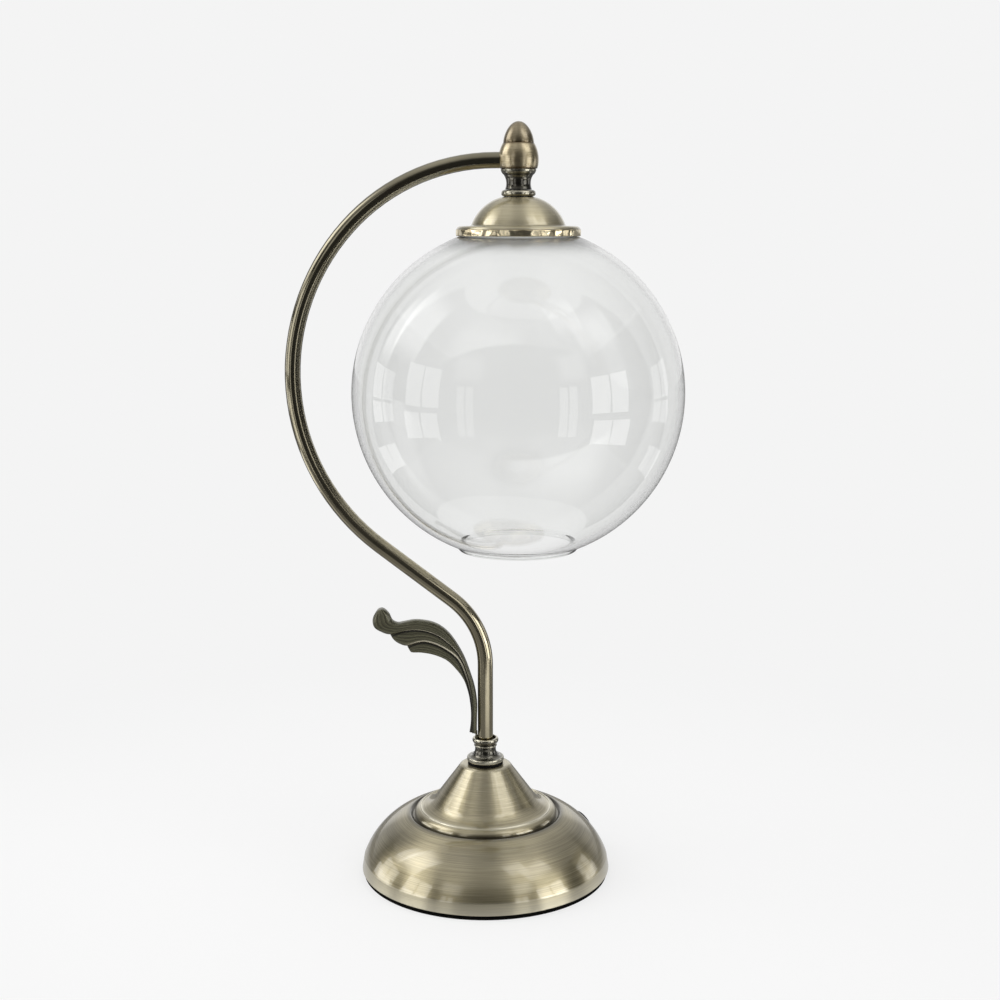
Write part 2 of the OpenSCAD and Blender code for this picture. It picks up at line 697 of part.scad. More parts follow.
module top_neck() {
    waist = spool_waist_d / 2;
    bead = spool_bead_d / 2;
    top = spool_top_d / 2;
    color(antique) translate([shade_x, 0, cap_z]) difference() {
        spun(concat(
            [[0, 0], [bead - 1, 0]], arc(bead - 1.6, 1.9, 1.6, -75, 75, 12), [[waist + 0.6, 3.6]],
            smooth([[waist + 0.5, 3.8], [waist + 0.1, 5.2], [waist, spool_h / 2],
                [waist + 0.3, spool_h - 4.6], [waist + 1.1, spool_h - 2.9]], 4),
            smooth([[top - 1.1, spool_h - 2.6], [top - 0.4, spool_h - 1.6], [top, spool_h - 0.5]], 4),
            [[top - 0.3, spool_h], [0, spool_h]]));
        translate([0, 0, -1]) cylinder(d = pipe_d + 2 * fit, h = spool_h + 2);
    }
}

module top_pipe() {
    color(steel) translate([shade_x, 0, top_pipe_z]) pipe(ball_z - 2.2 - top_pipe_z);
}

module top_washer() {
    color(steel) translate([shade_x, 0, bracket_z + bracket_t]) toothed_washer(top_washer_d);
}

module top_nut() {
    color("goldenrod") translate([shade_x, 0, bracket_z - nut_h]) hex_nut();
}

module cap_dome() {
    brim_r = cap_d / 2;
    foot = asin((brim_z + 0.6 - cap_centre_z) / cap_r);
    side_r = cap_offset + cap_r * cos(foot);
    crown = acos((cap_flat_d / 2 - cap_offset) / cap_r);
    inner_foot = asin((brim_under_z - cap_centre_z) / (cap_r - cap_wall));
    inner_crown = asin((cap_z - cap_wall - cap_centre_z) / (cap_r - cap_wall));
    color(antique) translate([shade_x, 0, 0]) spun(concat(
        [[pipe_d / 2 + fit, cap_z]],
        arc(cap_offset, cap_centre_z, cap_r, crown, foot, 20),
        [[side_r + 0.35, brim_z + 0.15], [side_r + 0.9, brim_z]],
        smooth([[brim_r - 1.6, brim_z - 0.15], [brim_r - 0.6, brim_z - 0.4 * brim_h],
            [brim_r, ring_top_z]], 4),
        [[brim_r - cap_wall, ring_top_z], [brim_r - cap_wall, brim_under_z]],
        arc(cap_offset, cap_centre_z, cap_r - cap_wall, inner_foot, inner_crown, 20),
        [[pipe_d / 2 + fit, cap_z - cap_wall]]));
}

module polished_ring() {
    r = ring_d / 2;
    spigot_top = brim_under_z - fit;
    color(bright_brass) translate([shade_x, 0, 0]) spun(concat(
        [[r - ring_edge, ring_z]],
        smooth([[r - 0.25, ring_z], [r, ring_z + 0.5], [r, ring_top_z - 0.5], [r - 0.25, ring_top_z]], 3),
        [[spigot_d / 2, ring_top_z], [spigot_d / 2, spigot_top], [ring_bore_d / 2, spigot_top],
        [ring_bore_d / 2, ring_z + 0.9]]));
}

module shade_gasket() {
    color("white") translate([shade_x, 0, brim_under_z - shade_gasket_t])
        ring(glass_neck_d + 0.4, glass_bore_d + 0.2, shade_gasket_t);
}

// Folded spring clips that press on the inside of the glass neck
module shade_clips() {
    root_r = clip_nose_r - 2;
    color(steel) translate([shade_x, 0, brim_under_z]) for (a = [90, 210, 330]) rotate(a)
        rotate([90, 0, 0]) translate([0, 0, -clip_w / 2]) linear_extrude(height = clip_w)
            polygon([[root_r, 0], [clip_nose_r, 0], [clip_nose_r, -clip_t], [root_r + clip_t, -clip_t],
                [root_r + clip_t, clip_t - clip_h], [clip_nose_r - clip_t, clip_t - clip_h],
                [clip_nose_r - clip_t, -3 * clip_t], [clip_nose_r, -3 * clip_t],
                [clip_nose_r, -clip_h], [root_r, -clip_h]]);
}

module globe() {
    r = globe_d / 2;
    bore_r = glass_bore_d / 2;
    mouth_r = lip_d / 2 - glass_wall - 0.1;
    color("lightcyan", 0.3) translate([shade_x, 0, globe_z]) rotate_extrude($fn = 180)
        intersection() {
            difference() {
                union() {
                    circle(r = r);
                    square([glass_neck_d / 2, glass_top_z - globe_z]);
                    translate([0, lip_bottom_z - globe_z]) square([lip_d / 2, globe_z - lip_bottom_z]);
                }
                circle(r = r - glass_wall);
                square([bore_r, r + 10]);
                translate([0, -r - 10]) square([mouth_r, r + 10]);
            }
            translate([0, lip_bottom_z - globe_z])
                square([r + 1, glass_top_z - lip_bottom_z]);
        }
}

module holder_bracket() {
    disc_d = pipe_d + 5;
    leg = bracket_z + bracket_t - holder_screw_z + 2.4;
    color(steel) translate([shade_x, 0, bracket_z + bracket_t]) difference() {
        union() {
            translate([-bracket_l / 2, -bracket_w / 2, -leg]) cube([bracket_l, bracket_w, leg]);
            translate([0, 0, -bracket_t]) cylinder(d = disc_d, h = bracket_t);
        }
        translate([bracket_t - bracket_l / 2, -bracket_w, -leg - 1])
            cube([bracket_l - 2 * bracket_t, 2 * bracket_w, leg + 1 - bracket_t]);
        translate([0, 0, -2]) cylinder(d = pipe_d + 2 * fit, h = 4);
        translate([-bracket_l, 0, 2.4 - leg]) rotate([0, 90, 0])
            cylinder(d = holder_screw_d + 2 * fit, h = 2 * bracket_l);
    }
}

// Places what repeats on the holder's two pins
module at_pins() {
    for (side = [-1, 1]) translate([shade_x, side * pin_pitch / 2, 0]) children();
}

module lamp_holder() {
    color(ceramic) difference() {
        translate([shade_x, 0, holder_z]) cylinder(d = holder_d, h = holder_h);
        at_pins() {
            translate([0, 0, holder_z - 1]) cylinder(d = pin_d, h = 4);
            translate([0, 0, contact_z]) cylinder(d = contact_d + 2 * fit, h = holder_h);
        }
        translate([shade_x, 0, well_z]) cylinder(d = well_d, h = holder_h);
        translate([shade_x - bracket_l / 2, 0, holder_screw_z]) rotate([0, 90, 0])
            cylinder(d = holder_screw_d + 2 * fit, h = bracket_l / 2 - 4.5);
        translate([shade_x + 4.5, 0, holder_screw_z]) rotate([0, 90, 0])
            cylinder(d = holder_screw_d + 2 * fit, h = bracket_l / 2);
    }
}

module holder_contacts() {
    top = lead_top_z - contact_z;
    tab_l = pin_pitch / 2 - pin_d / 2 - 0.3 - 0.5;
    color(bright_brass) for (side = [-1, 1]) {
        translate([shade_x, side * pin_pitch / 2, contact_z]) ring(contact_d, pin_d, top);
        translate([shade_x - 0.8, side > 0 ? 0.5 : -0.5 - tab_l, lead_top_z - contact_tab_t + fit])
            cube([1.6, tab_l, contact_tab_t - fit]);
    }
}

module holder_screws() {
    head_d = 4.4;
    head_h = 1.2;
    inner = 4.8;
    color(steel) for (side = [0, 180])
        translate([shade_x, 0, holder_screw_z]) rotate(side) rotate([0, 90, 0]) difference() {
            union() {
                translate([0, 0, inner]) cylinder(d = holder_screw_d, h = bracket_l / 2 - inner + 0.2);
                translate([0, 0, bracket_l / 2]) cylinder(d = head_d, h = head_h);
            }
            translate([0, 0, bracket_l / 2 + head_h]) cube([0.6, 6, 1], center = true);
        }
}

// One lead from its terminal, through the pipes and the arm, to its contact in the holder
module lead(side) {
    up = arm_z + arm_upright - terminal_z - lead_bend_r;
    across = ball_reach - lead_bend_r;
    down = ball_z - lead_bend_r - lead_top_z - step_lap - fit;
    translate([lead_start_x, side * terminal_pitch / 2, terminal_z]) rotate([0, -90, 0])
        along(concat([[lead_run_in], [lead_swing_r, lead_swing, -90 * side], [lead_joint],
            [lead_swing_r, lead_swing, 90 * side], [1.5], [lead_bend_r, 90, 0], [up]], bow,
            [[across], [lead_bend_r, 90, 0], [down]]), lead_d);
}

module lead_live() {
    color("saddlebrown") lead(1);
}

module lead_neutral() {
    color("steelblue") lead(-1);
}

foot_pad();
base_plate();
base_weight();
weight_screws();
base_dome();
base_bell();
base_pipe();
base_washer();
base_nut();
cord_grommet();
terminal_block();
terminal_tubes();
terminal_screws();
terminal_fixing_screw();
neck_gasket();
neck_flare();
neck_collar();
leaf();
arm_tube();
ball();
finial();
top_neck();
top_pipe();
top_washer();
top_nut();
cap_dome();
polished_ring();
shade_gasket();
shade_clips();
globe();
holder_bracket();
lamp_holder();
holder_contacts();
holder_screws();
lead_live();
lead_neutral();
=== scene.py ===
import bpy
from math import acos, asin, cos, degrees, exp, hypot, pi, radians, sin, sqrt
from mathutils import Matrix, Vector


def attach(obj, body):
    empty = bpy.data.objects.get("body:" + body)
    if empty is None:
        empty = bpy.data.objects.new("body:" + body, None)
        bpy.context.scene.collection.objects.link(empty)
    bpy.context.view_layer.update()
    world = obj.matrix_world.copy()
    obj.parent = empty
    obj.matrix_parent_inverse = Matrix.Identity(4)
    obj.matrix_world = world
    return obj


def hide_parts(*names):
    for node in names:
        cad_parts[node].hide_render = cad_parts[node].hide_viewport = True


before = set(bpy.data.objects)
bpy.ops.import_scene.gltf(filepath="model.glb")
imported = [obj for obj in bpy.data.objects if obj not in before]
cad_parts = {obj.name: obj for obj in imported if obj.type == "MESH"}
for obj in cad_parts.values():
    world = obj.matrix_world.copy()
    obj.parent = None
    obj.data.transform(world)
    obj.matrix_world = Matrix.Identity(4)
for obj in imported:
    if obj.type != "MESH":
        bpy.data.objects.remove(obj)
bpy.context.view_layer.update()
print("frame is in")

mm = 0.001
stand, shade = "lamp", "globe"  # the two bodies
weld = 0.002  # vertices closer than this, in mm, become one
topX = 16.008  # axis of the ball, cap and globe, in mm


# Outlines, in mm: pairs of distance from the axis and height

def arcPoints(x, z, radius, start, end, count):
    turns = [radians(start + (end - start) * i / count) for i in range(count + 1)]
    return [(x + radius * cos(a), z + radius * sin(a)) for a in turns]


def stepPoints(a, b, count):  # soft S-shaped step from a to b
    return [(a[0] + (b[0] - a[0]) * i / count,
             a[1] + (b[1] - a[1]) * (1 - cos(pi * i / count)) / 2) for i in range(count + 1)]


def smoothPoints(points, count=6):  # smooth curve through the points
    line = []
    for i in range(len(points) - 1):
        a, b = points[max(i - 1, 0)], points[i]
        c, d = points[i + 1], points[min(i + 2, len(points) - 1)]
        for k in range(count):
            t = k / count
            line.append(tuple(0.5 * (2 * b[n] + (c[n] - a[n]) * t
                                     + (2 * a[n] - 5 * b[n] + 4 * c[n] - d[n]) * t * t
                                     + (3 * b[n] - a[n] - 3 * c[n] + d[n]) * t ** 3) for n in (0, 1)))
    return line + [tuple(points[-1])]


def moved(points, x, z):  # an outline, or spots of wear
    return [(p[0] + x, p[1] + z, *p[2:]) for p in points]


def washerOutline(inner, outer, foot, top):
    return [(inner, foot), (outer, foot), (outer, top), (inner, top), (inner, foot)]


def held(value):  # between 0 and 1
    return min(1, max(0, value))


# Modelling helpers

def deselectAll():
    if bpy.context.object and bpy.context.object.mode != "OBJECT":
        bpy.ops.object.mode_set(mode="OBJECT")
    bpy.ops.object.select_all(action="DESELECT")


def editAll():
    bpy.ops.object.mode_set(mode="EDIT")
    bpy.ops.mesh.select_all(action="SELECT")


def applyPlace():
    bpy.ops.object.transform_apply(location=True, rotation=True, scale=True)


def applyModifiers(piece):
    for modifier in list(piece.modifiers):
        bpy.ops.object.modifier_apply(modifier=modifier.name)


def cleanMesh():  # in edit mode
    bpy.ops.mesh.select_all(action="SELECT")
    bpy.ops.mesh.remove_doubles(threshold=weld * mm)
    bpy.ops.mesh.normals_make_consistent(inside=False)
    bpy.ops.object.mode_set(mode="OBJECT")


def finishPiece(piece, name, body, look, replaced, smoothAngle=32):
    piece.name = name
    piece.data.name = name
    bpy.ops.object.shade_smooth_by_angle(angle=radians(smoothAngle))
    piece.data.materials.clear()
    piece.data.materials.append(look)
    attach(piece, body)
    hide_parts(*replaced)


def turnedMesh(outline, axisX=0.0, steps=128, edge=0.12, edgeAngle=40):
    # One vertex is drawn along the outline by extruding, and the line is spun round the axis
    deselectAll()
    start = outline[0]
    bpy.ops.mesh.primitive_plane_add(size=mm, location=((axisX + start[0]) * mm, 0, start[1] * mm))
    piece = bpy.context.object
    applyPlace()
    editAll()
    bpy.ops.mesh.merge(type="CENTER")
    for a, b in zip(outline, outline[1:]):
        bpy.ops.mesh.extrude_region_move(
            TRANSFORM_OT_translate={"value": ((b[0] - a[0]) * mm, 0, (b[1] - a[1]) * mm)})
    bpy.ops.mesh.select_all(action="SELECT")
    bpy.ops.mesh.spin(steps=steps, angle=2 * pi, center=(axisX * mm, 0, 0), axis=(0, 0, 1))
    cleanMesh()
    if edge:
        bevel = piece.modifiers.new("edges", "BEVEL")
        bevel.width = edge * mm
        bevel.segments = 2
        bevel.limit_method = "ANGLE"
        bevel.angle_limit = radians(edgeAngle)
        applyModifiers(piece)
    return piece


def paintWearAndLight(piece, axisX, grooves, rims=()):
    # Grooves are darkened with patina and painted shade, and rims are lightened as rubbed metal with painted
    # highlights.
    # Each is distance from the axis, height, reach and strength
    for name, spots in (("patinaAndShade", grooves), ("rubbedAndHighlight", rims)):
        layer = piece.data.attributes.new(name, "FLOAT", "POINT")
        for i, vertex in enumerate(piece.data.vertices):
            r = hypot(vertex.co.x / mm - axisX, vertex.co.y / mm)
            z = vertex.co.z / mm
            layer.data[i].value = max([0.0] + [
                strength * exp(-((r - at) ** 2 + (z - height) ** 2) / reach ** 2)
                for at, height, reach, strength in spots])


# Finishes

noiseSpan = (0.3, 0.7)  # most of a noise pattern lies between these


def setSockets(owner, node, inputs):  # the owner is a material, the world or a lamp
    for key, value in inputs.items():
        if hasattr(value, "is_output"):
            owner.node_tree.links.new(value, node.inputs[key])
        else:
            node.inputs[key].default_value = value


def addNode(owner, kind, inputs=None, **settings):
    node = owner.node_tree.nodes.new("ShaderNode" + kind)
    for key, value in settings.items():
        setattr(node, key, value)
    setSockets(owner, node, inputs or {})
    return node


def reckon(owner, kind, *values):
    return addNode(owner, "Math", dict(enumerate(values)), operation=kind).outputs[0]


def reckonVector(owner, kind, *values):
    node = addNode(owner, "VectorMath", dict(enumerate(values)), operation=kind)
    return node.outputs["Value" if kind in ("LENGTH", "DOT_PRODUCT") else "Vector"]


def mapped(owner, value, span, target=(0, 1), smooth=False):  # held at both ends of the target
    ends = dict(zip(("From Min", "From Max", "To Min", "To Max"), (*span, *target)))
    return addNode(owner, "MapRange", {"Value": value, **ends},
                   interpolation_type="SMOOTHSTEP" if smooth else "LINEAR").outputs[0]


def blendColors(finish, factor, dark, light, kind="MIX"):
    dark, light = [color if hasattr(color, "is_output") else (*color, 1) for color in (dark, light)]
    return addNode(finish, "Mix", {0: factor, 6: dark, 7: light}, data_type="RGBA",
                   blend_type=kind).outputs[2]


def addNoise(finish, spot, scale, detail):
    return addNode(finish, "TexNoise", {"Vector": spot, "Scale": scale, "Detail": detail}).outputs["Fac"]


def addBump(finish, height, strength, depth):
    return addNode(finish, "Bump", {"Height": height, "Strength": strength,
                                    "Distance": depth * mm}).outputs[0]


def painted(finish, name):
    return addNode(finish, "Attribute", attribute_name=name).outputs["Fac"]


def addWearAndLight(finish, color, look):  # patina and painted shade, then rubbed metal and painted highlights, where they are painted
    stained = blendColors(finish, painted(finish, "patinaAndShade"), color, look["patinaAndShade"])
    return blendColors(finish, painted(finish, "rubbedAndHighlight"), stained, look["rubbedAndHighlight"])


def startFinish(name, color, roughness, metallic=0.0, coat=0.0, coatRoughness=0.05):
    finish = bpy.data.materials.new(name)
    finish.use_nodes = True
    finish.diffuse_color = (*color, 1)
    shader = finish.node_tree.nodes["Principled BSDF"]
    setSockets(finish, shader, {"Base Color": (*color, 1), "Roughness": roughness, "Metallic": metallic,
                                "Coat Weight": coat, "Coat Roughness": coatRoughness})
    return finish, shader


def speckledFinish(name, look):
    # Plain finish with a soft mottle in its colour, sheen and surface
    finish, shader = startFinish(name, look["light"], look["roughness"][1], look.get("metallic", 0),
                                 look.get("coat", 0), look.get("coatRoughness", 0.05))
    place = addNode(finish, "TexCoord").outputs["Object"]
    broad = addNoise(finish, place, look["broad"], 4)
    fine = addNoise(finish, place, look["fine"], 2)
    color = blendColors(finish, mapped(finish, broad, noiseSpan), look["dark"], look["light"])
    # patina and painted shade, where it is painted on the mesh
    if "patinaAndShade" in look:
        color = blendColors(finish, painted(finish, "patinaAndShade"), color, look["patinaAndShade"])
    setSockets(finish, shader, {
        "Base Color": color, "Roughness": mapped(finish, fine, noiseSpan, look["roughness"]),
        "Specular IOR Level": look.get("specular", 0.5),
        "Normal": addBump(finish, fine, look["bump"], look.get("bumpDepth", 0.1))})
    return finish


def brushedFinish(name, look, axisX):
    # Brush lines run round the axis: they read the height less a share of the distance from the axis
    finish, shader = startFinish(name, look["light"], look["roughness"][1], 1.0,
                                 look["coat"], look["coatRoughness"])
    tangent = addNode(finish, "Tangent", direction_type="RADIAL", axis="Z").outputs[0]
    place = addNode(finish, "TexCoord").outputs["Object"]
    spot = addNode(finish, "Mapping", {"Vector": place, "Location": (-axisX, 0, 0),
                                       "Scale": (1 / mm,) * 3}).outputs[0]  # now in mm from the axis
    flat = reckonVector(finish, "MULTIPLY", spot, (1, 1, 0))
    height = addNode(finish, "SeparateXYZ", {0: spot}).outputs[2]
    along = reckon(finish, "MULTIPLY_ADD", reckonVector(finish, "LENGTH", flat), -look["slant"], height)
    lift = addNode(finish, "CombineXYZ", {2: along}).outputs[0]
    around = reckonVector(finish, "NORMALIZE", flat)
    ringSpot = reckonVector(finish, "MULTIPLY_ADD", around, look["arcs"], lift)
    fine = addNoise(finish, ringSpot, look["fine"], look["detail"])
    broad = addNoise(finish, ringSpot, look["broad"], 2)
    cloud = addNoise(finish, spot, look["cloudScale"], 3)
    lines = blendColors(finish, mapped(finish, fine, noiseSpan), look["dark"], look["light"])
    bands = blendColors(finish, mapped(finish, broad, noiseSpan), look["shade"], (1, 1, 1))
    toned = blendColors(finish, 1.0, lines, bands, "MULTIPLY")
    clouds = mapped(finish, cloud, look["cloudSpan"], (0, look["cloud"]))
    aged = blendColors(finish, clouds, toned, look["patinaAndShade"])
    setSockets(finish, shader, {
        "Base Color": addWearAndLight(finish, aged, look),
        "Roughness": mapped(finish, fine, noiseSpan, look["roughness"]),
        "Normal": addBump(finish, fine, look["bump"], look["bumpDepth"]), "Coat IOR": look["coatIor"],
        "Tangent": tangent, "Anisotropic": look["grain"], "Anisotropic Rotation": look["grainTurn"]})
    return finish


antiqueLook = {
    "light": (0.575, 0.507, 0.325), "dark": (0.355, 0.310, 0.192), "shade": (0.88, 0.87, 0.85),
    "patinaAndShade": (0.035, 0.032, 0.024), "rubbedAndHighlight": (0.84, 0.79, 0.62),
    "cloud": 0.05, "cloudScale": 0.06, "cloudSpan": (0.35, 0.75),
    "roughness": (0.28, 0.34), "grain": 0.85, "grainTurn": 0.25, "coat": 0.8, "coatRoughness": 0.03,
    "coatIor": 1.8, "slant": 0.6, "arcs": (0.8, 0.8, 0), "fine": 2.5, "detail": 3, "broad": 0.8,
    "bump": 0.012, "bumpDepth": 0.05}
capLook = dict(antiqueLook, light=(0.67, 0.60, 0.40), dark=(0.58, 0.515, 0.335), cloud=0.04,
               roughness=(0.34, 0.4))
ballLook = dict(antiqueLook, light=(0.78, 0.67, 0.44), dark=(0.53, 0.45, 0.29),
                patinaAndShade=(0.13, 0.085, 0.035), cloud=0.55, roughness=(0.27, 0.36), grain=0.5, coatIor=1.5)
finialLook = dict(ballLook, light=(0.49, 0.42, 0.28), dark=(0.34, 0.29, 0.19))
darkLook = dict(antiqueLook, light=(0.36, 0.335, 0.265), dark=(0.24, 0.225, 0.17),
                patinaAndShade=(0.012, 0.011, 0.009), cloud=0.3, grain=0.2, roughness=(0.16, 0.24), fine=1.6,
                coatIor=1.5)
polishedLook = dict(antiqueLook, light=(0.97, 0.87, 0.62), dark=(0.94, 0.81, 0.54),
                    shade=(0.95, 0.94, 0.92), patinaAndShade=(0.20, 0.13, 0.05), rubbedAndHighlight=(0.98, 0.90, 0.68),
                    cloud=0.06, roughness=(0.16, 0.22), grain=0.0, coat=0.0, arcs=(26, 26, 0), fine=0.15,
                    broad=0.3, detail=1, bump=1.0, bumpDepth=2.4)

baseBrass = brushedFinish("baseBrass", antiqueLook, 0)
capBrass = brushedFinish("capBrass", capLook, topX)
ballBrass = brushedFinish("ballBrass", ballLook, topX)
finialBrass = brushedFinish("finialBrass", finialLook, topX)
neckBrass = brushedFinish("neckBrass", darkLook, 0)
spoolBrass = brushedFinish("spoolBrass", darkLook, topX)
ringBrass = brushedFinish("ringBrass", polishedLook, topX)
tubeBrass = speckledFinish("tubeBrass", {
    "dark": (0.46, 0.408, 0.275), "light": (0.58, 0.515, 0.35), "metallic": 1, "coat": 0.9,
    "patinaAndShade": (0.10, 0.092, 0.06), "roughness": (0.12, 0.16), "coatRoughness": 0.03, "broad": 60,
    "fine": 400, "bump": 0.0})
plainBrass = speckledFinish("plainBrass", {
    "dark": (0.62, 0.48, 0.22), "light": (0.74, 0.60, 0.31), "metallic": 1,
    "roughness": (0.22, 0.36), "broad": 300, "fine": 2500, "bump": 0.1})
zincSteel = speckledFinish("zincSteel", {
    "dark": (0.50, 0.51, 0.53), "light": (0.64, 0.65, 0.66), "metallic": 1,
    "roughness": (0.24, 0.42), "broad": 180, "fine": 1800, "bump": 0.12})
castIron = speckledFinish("castIron", {
    "dark": (0.06, 0.058, 0.055), "light": (0.13, 0.125, 0.12), "metallic": 0.6,
    "roughness": (0.5, 0.75), "broad": 120, "fine": 1100, "bump": 0.8})
blackFoam = speckledFinish("blackFoam", {
    "dark": (0.002, 0.002, 0.002), "light": (0.005, 0.005, 0.004), "specular": 0.03,
    "roughness": (0.8, 0.95), "broad": 300, "fine": 2600, "bump": 0.6})
blackRubber = speckledFinish("blackRubber", {
    "dark": (0.003, 0.003, 0.003), "light": (0.008, 0.0075, 0.007), "specular": 0.05,
    "roughness": (0.45, 0.65), "broad": 200, "fine": 1800, "bump": 0.2})
whiteSilicone = speckledFinish("whiteSilicone", {
    "dark": (0.70, 0.70, 0.68), "light": (0.80, 0.80, 0.78),
    "roughness": (0.4, 0.55), "broad": 160, "fine": 1500, "bump": 0.1})
blockPlastic = speckledFinish("blockPlastic", {
    "dark": (0.68, 0.65, 0.55), "light": (0.78, 0.75, 0.66),
    "roughness": (0.35, 0.5), "broad": 150, "fine": 1400, "bump": 0.12})
glazedCeramic = speckledFinish("glazedCeramic", {
    "dark": (0.72, 0.70, 0.65), "light": (0.82, 0.81, 0.77), "coat": 0.7,
    "roughness": (0.22, 0.34), "broad": 220, "fine": 1600, "bump": 0.08})
brownLook = {"dark": (0.10, 0.04, 0.015), "light": (0.15, 0.065, 0.028),
             "roughness": (0.35, 0.5), "broad": 200, "fine": 1700, "bump": 0.1}
brownCover = speckledFinish("brownCover", brownLook)
blueCover = speckledFinish("blueCover", dict(brownLook, dark=(0.02, 0.07, 0.24), light=(0.035, 0.11, 0.34)))


def leafFinish(name, look):
    # Cast and darkened, with fine lines along the leaf that follow the mesh's own UV
    finish, shader = startFinish(name, look["light"], look["roughness"], look["metallic"], look["coat"])
    place = addNode(finish, "TexCoord").outputs["UV"]
    spot = addNode(finish, "Mapping", {"Vector": place, "Scale": look["lines"]}).outputs[0]
    lines = addNoise(finish, spot, 1, 4)
    color = blendColors(finish, mapped(finish, lines, look["lineSpan"]), look["dark"], look["light"])
    setSockets(finish, shader, {"Base Color": addWearAndLight(finish, color, look),
                                "Normal": addBump(finish, lines, look["bump"], look["bumpDepth"])})
    return finish


leafBrass = leafFinish("leafBrass", {
    "light": (0.19, 0.18, 0.113), "dark": (0.075, 0.074, 0.045), "patinaAndShade": (0.012, 0.011, 0.009),
    "rubbedAndHighlight": (0.80, 0.74, 0.58), "roughness": 0.34, "metallic": 0.5, "coat": 0.3,
    "lines": (5, 55, 1), "lineSpan": (0.35, 0.65), "bump": 0.35, "bumpDepth": 0.15})


def glassFinish(name, look):
    # Where it is painted, round the neck, the glass is darkened with painted shade and slightly blurred
    finish, shader = startFinish(name, look["color"], look["roughness"])
    waves = addNoise(finish, addNode(finish, "TexCoord").outputs["Object"], look["waves"], 1)
    color = blendColors(finish, waves, look["tint"], look["color"])
    neck = painted(finish, "patinaAndShade")
    setSockets(finish, shader, {
        "Transmission Weight": 1.0, "IOR": look["ior"],
        "Base Color": blendColors(finish, neck, color, look["neckShade"]),
        "Roughness": mapped(finish, neck, (0, 1), (look["roughness"], look["ground"])),
        "Normal": addBump(finish, waves, look["bump"], look["bumpDepth"])})
    return finish


# neckShade is the grey of the painted shade on the glass round its neck
clearGlass = glassFinish("clearGlass", {
    "color": (0.962, 0.966, 0.96), "tint": (0.95, 0.955, 0.948), "neckShade": (0.555, 0.56, 0.55),
    "ior": 1.52, "roughness": 0.0, "ground": 0.22, "waves": 14, "bump": 0.02, "bumpDepth": 0.2})
print("finishes are mixed")

# Pad

padSizes = {"radius": 61.5, "height": 2.4, "edge": 0.35}


def makePad(s):
    r, h, e = s["radius"], s["height"], s["edge"]
    outline = [(0, 0)] + arcPoints(r - e, e, e, -90, 0, 3) + arcPoints(r - e, h - e, e, 0, 90, 3) + [(0, h)]
    piece = turnedMesh(outline, edge=0)
    finishPiece(piece, "padDisc", stand, blackFoam, ["foot_pad"])


makePad(padSizes)

# Dome and bell of the base

domeSizes = {"seat": (36.25, 29.306), "shoulder": (38.15, 30.676), "arcCentre": (25.526, -5.413),
             "arcRadius": 38.3, "arcTop": 70.12, "arcFoot": 20.5, "footRadius": 62.3, "footHeight": 2.4,
             "lip": 3.8, "lipHeight": 1, "lipInset": 1.35, "wall": 1.2, "bore": 4.05, "inletTurn": 30,
             "inletRise": 30, "inletRadius": 4.25, "drill": 12,
             # these spots paint patina and painted shade: darkest in the bell's seat, with wide soft painted
             # shade over the dome beyond it
             "grooves": ((1.2, 0.5, 2.0, 0.97), (9.4, -2, 2.2, 0.2), (12.5, -4, 7, 0.25))}  # from the seat
bellSizes = {"edgeCentre": (10.8, 53.257), "edgeRadius": 2.7, "slope": 53.8, "flareCentre": (35.195, 45.831),
             "flareRadius": 12.6, "endSlope": 14, "footCentre": (32.147, 29.906), "footRadius": 3.7,
             "seatHeight": 29.306, "wall": 1.0, "bore": 4.05, "bead": ((0.1, 0.19), (0.35, 0.3), (0.6, 0.19)),
             "topGroove": 8.9, "topRim": 11.6}


def domeFace(s, depth):
    seat, shoulder = s["seat"], s["shoulder"]
    step = stepPoints((seat[0], seat[1] - depth), (shoulder[0], shoulder[1] - depth), 12)
    return step + arcPoints(*s["arcCentre"], s["arcRadius"] - depth, s["arcTop"], s["arcFoot"], 40)


def makeDome(s):
    top, foot, low = s["seat"][1], s["footRadius"], s["footHeight"]
    bandTop = domeFace(s, 0)[-1]
    band = [(bandTop[0] + 0.05, bandTop[1] - 0.3), (foot - 0.06, low + 0.5), (foot, low + 0.15),
            (foot - 0.1, low)]
    lipEdge, lipTop = foot - s["lip"], low + s["lipHeight"]
    outline = [(s["bore"], top)] + domeFace(s, 0) + band \
        + [(lipEdge, low), (lipEdge, lipTop), (foot - s["lipInset"], lipTop)] \
        + domeFace(s, s["wall"])[::-1] + [(s["bore"], top - s["wall"]), (s["bore"], top)]
    piece = turnedMesh(outline, steps=192)
    deselectAll()
    # Hole for the cord's inlet
    bpy.ops.mesh.primitive_cylinder_add(vertices=48, radius=s["inletRadius"] * mm, depth=s["drill"] * mm,
                                        location=(0, 0, s["arcRadius"] * mm))
    drill = bpy.context.object
    applyPlace()
    drill.matrix_world = inletPlace(s)
    deselectAll()
    bpy.context.view_layer.objects.active = piece
    piece.select_set(True)
    cut = piece.modifiers.new("inlet", "BOOLEAN")
    cut.operation = "DIFFERENCE"
    cut.object = drill
    applyModifiers(piece)
    bpy.data.objects.remove(drill)
    # patina and painted shade round the bell's seat, and painted highlights along the foot's edge and the
    # band's top
    paintWearAndLight(piece, 0, moved(s["grooves"], *s["seat"]), [(foot, low + 0.5, 0.45, 0.6), (*bandTop, 0.4, 0.5)])
    finishPiece(piece, "baseShell", stand, baseBrass, ["base_dome"])


def inletPlace(s):
    x, z = s["arcCentre"]
    return Matrix.Rotation(radians(s["inletTurn"]), 4, "Z") @ Matrix.Translation((x * mm, 0, z * mm)) \
        @ Matrix.Rotation(radians(90 - s["inletRise"]), 4, "Y")


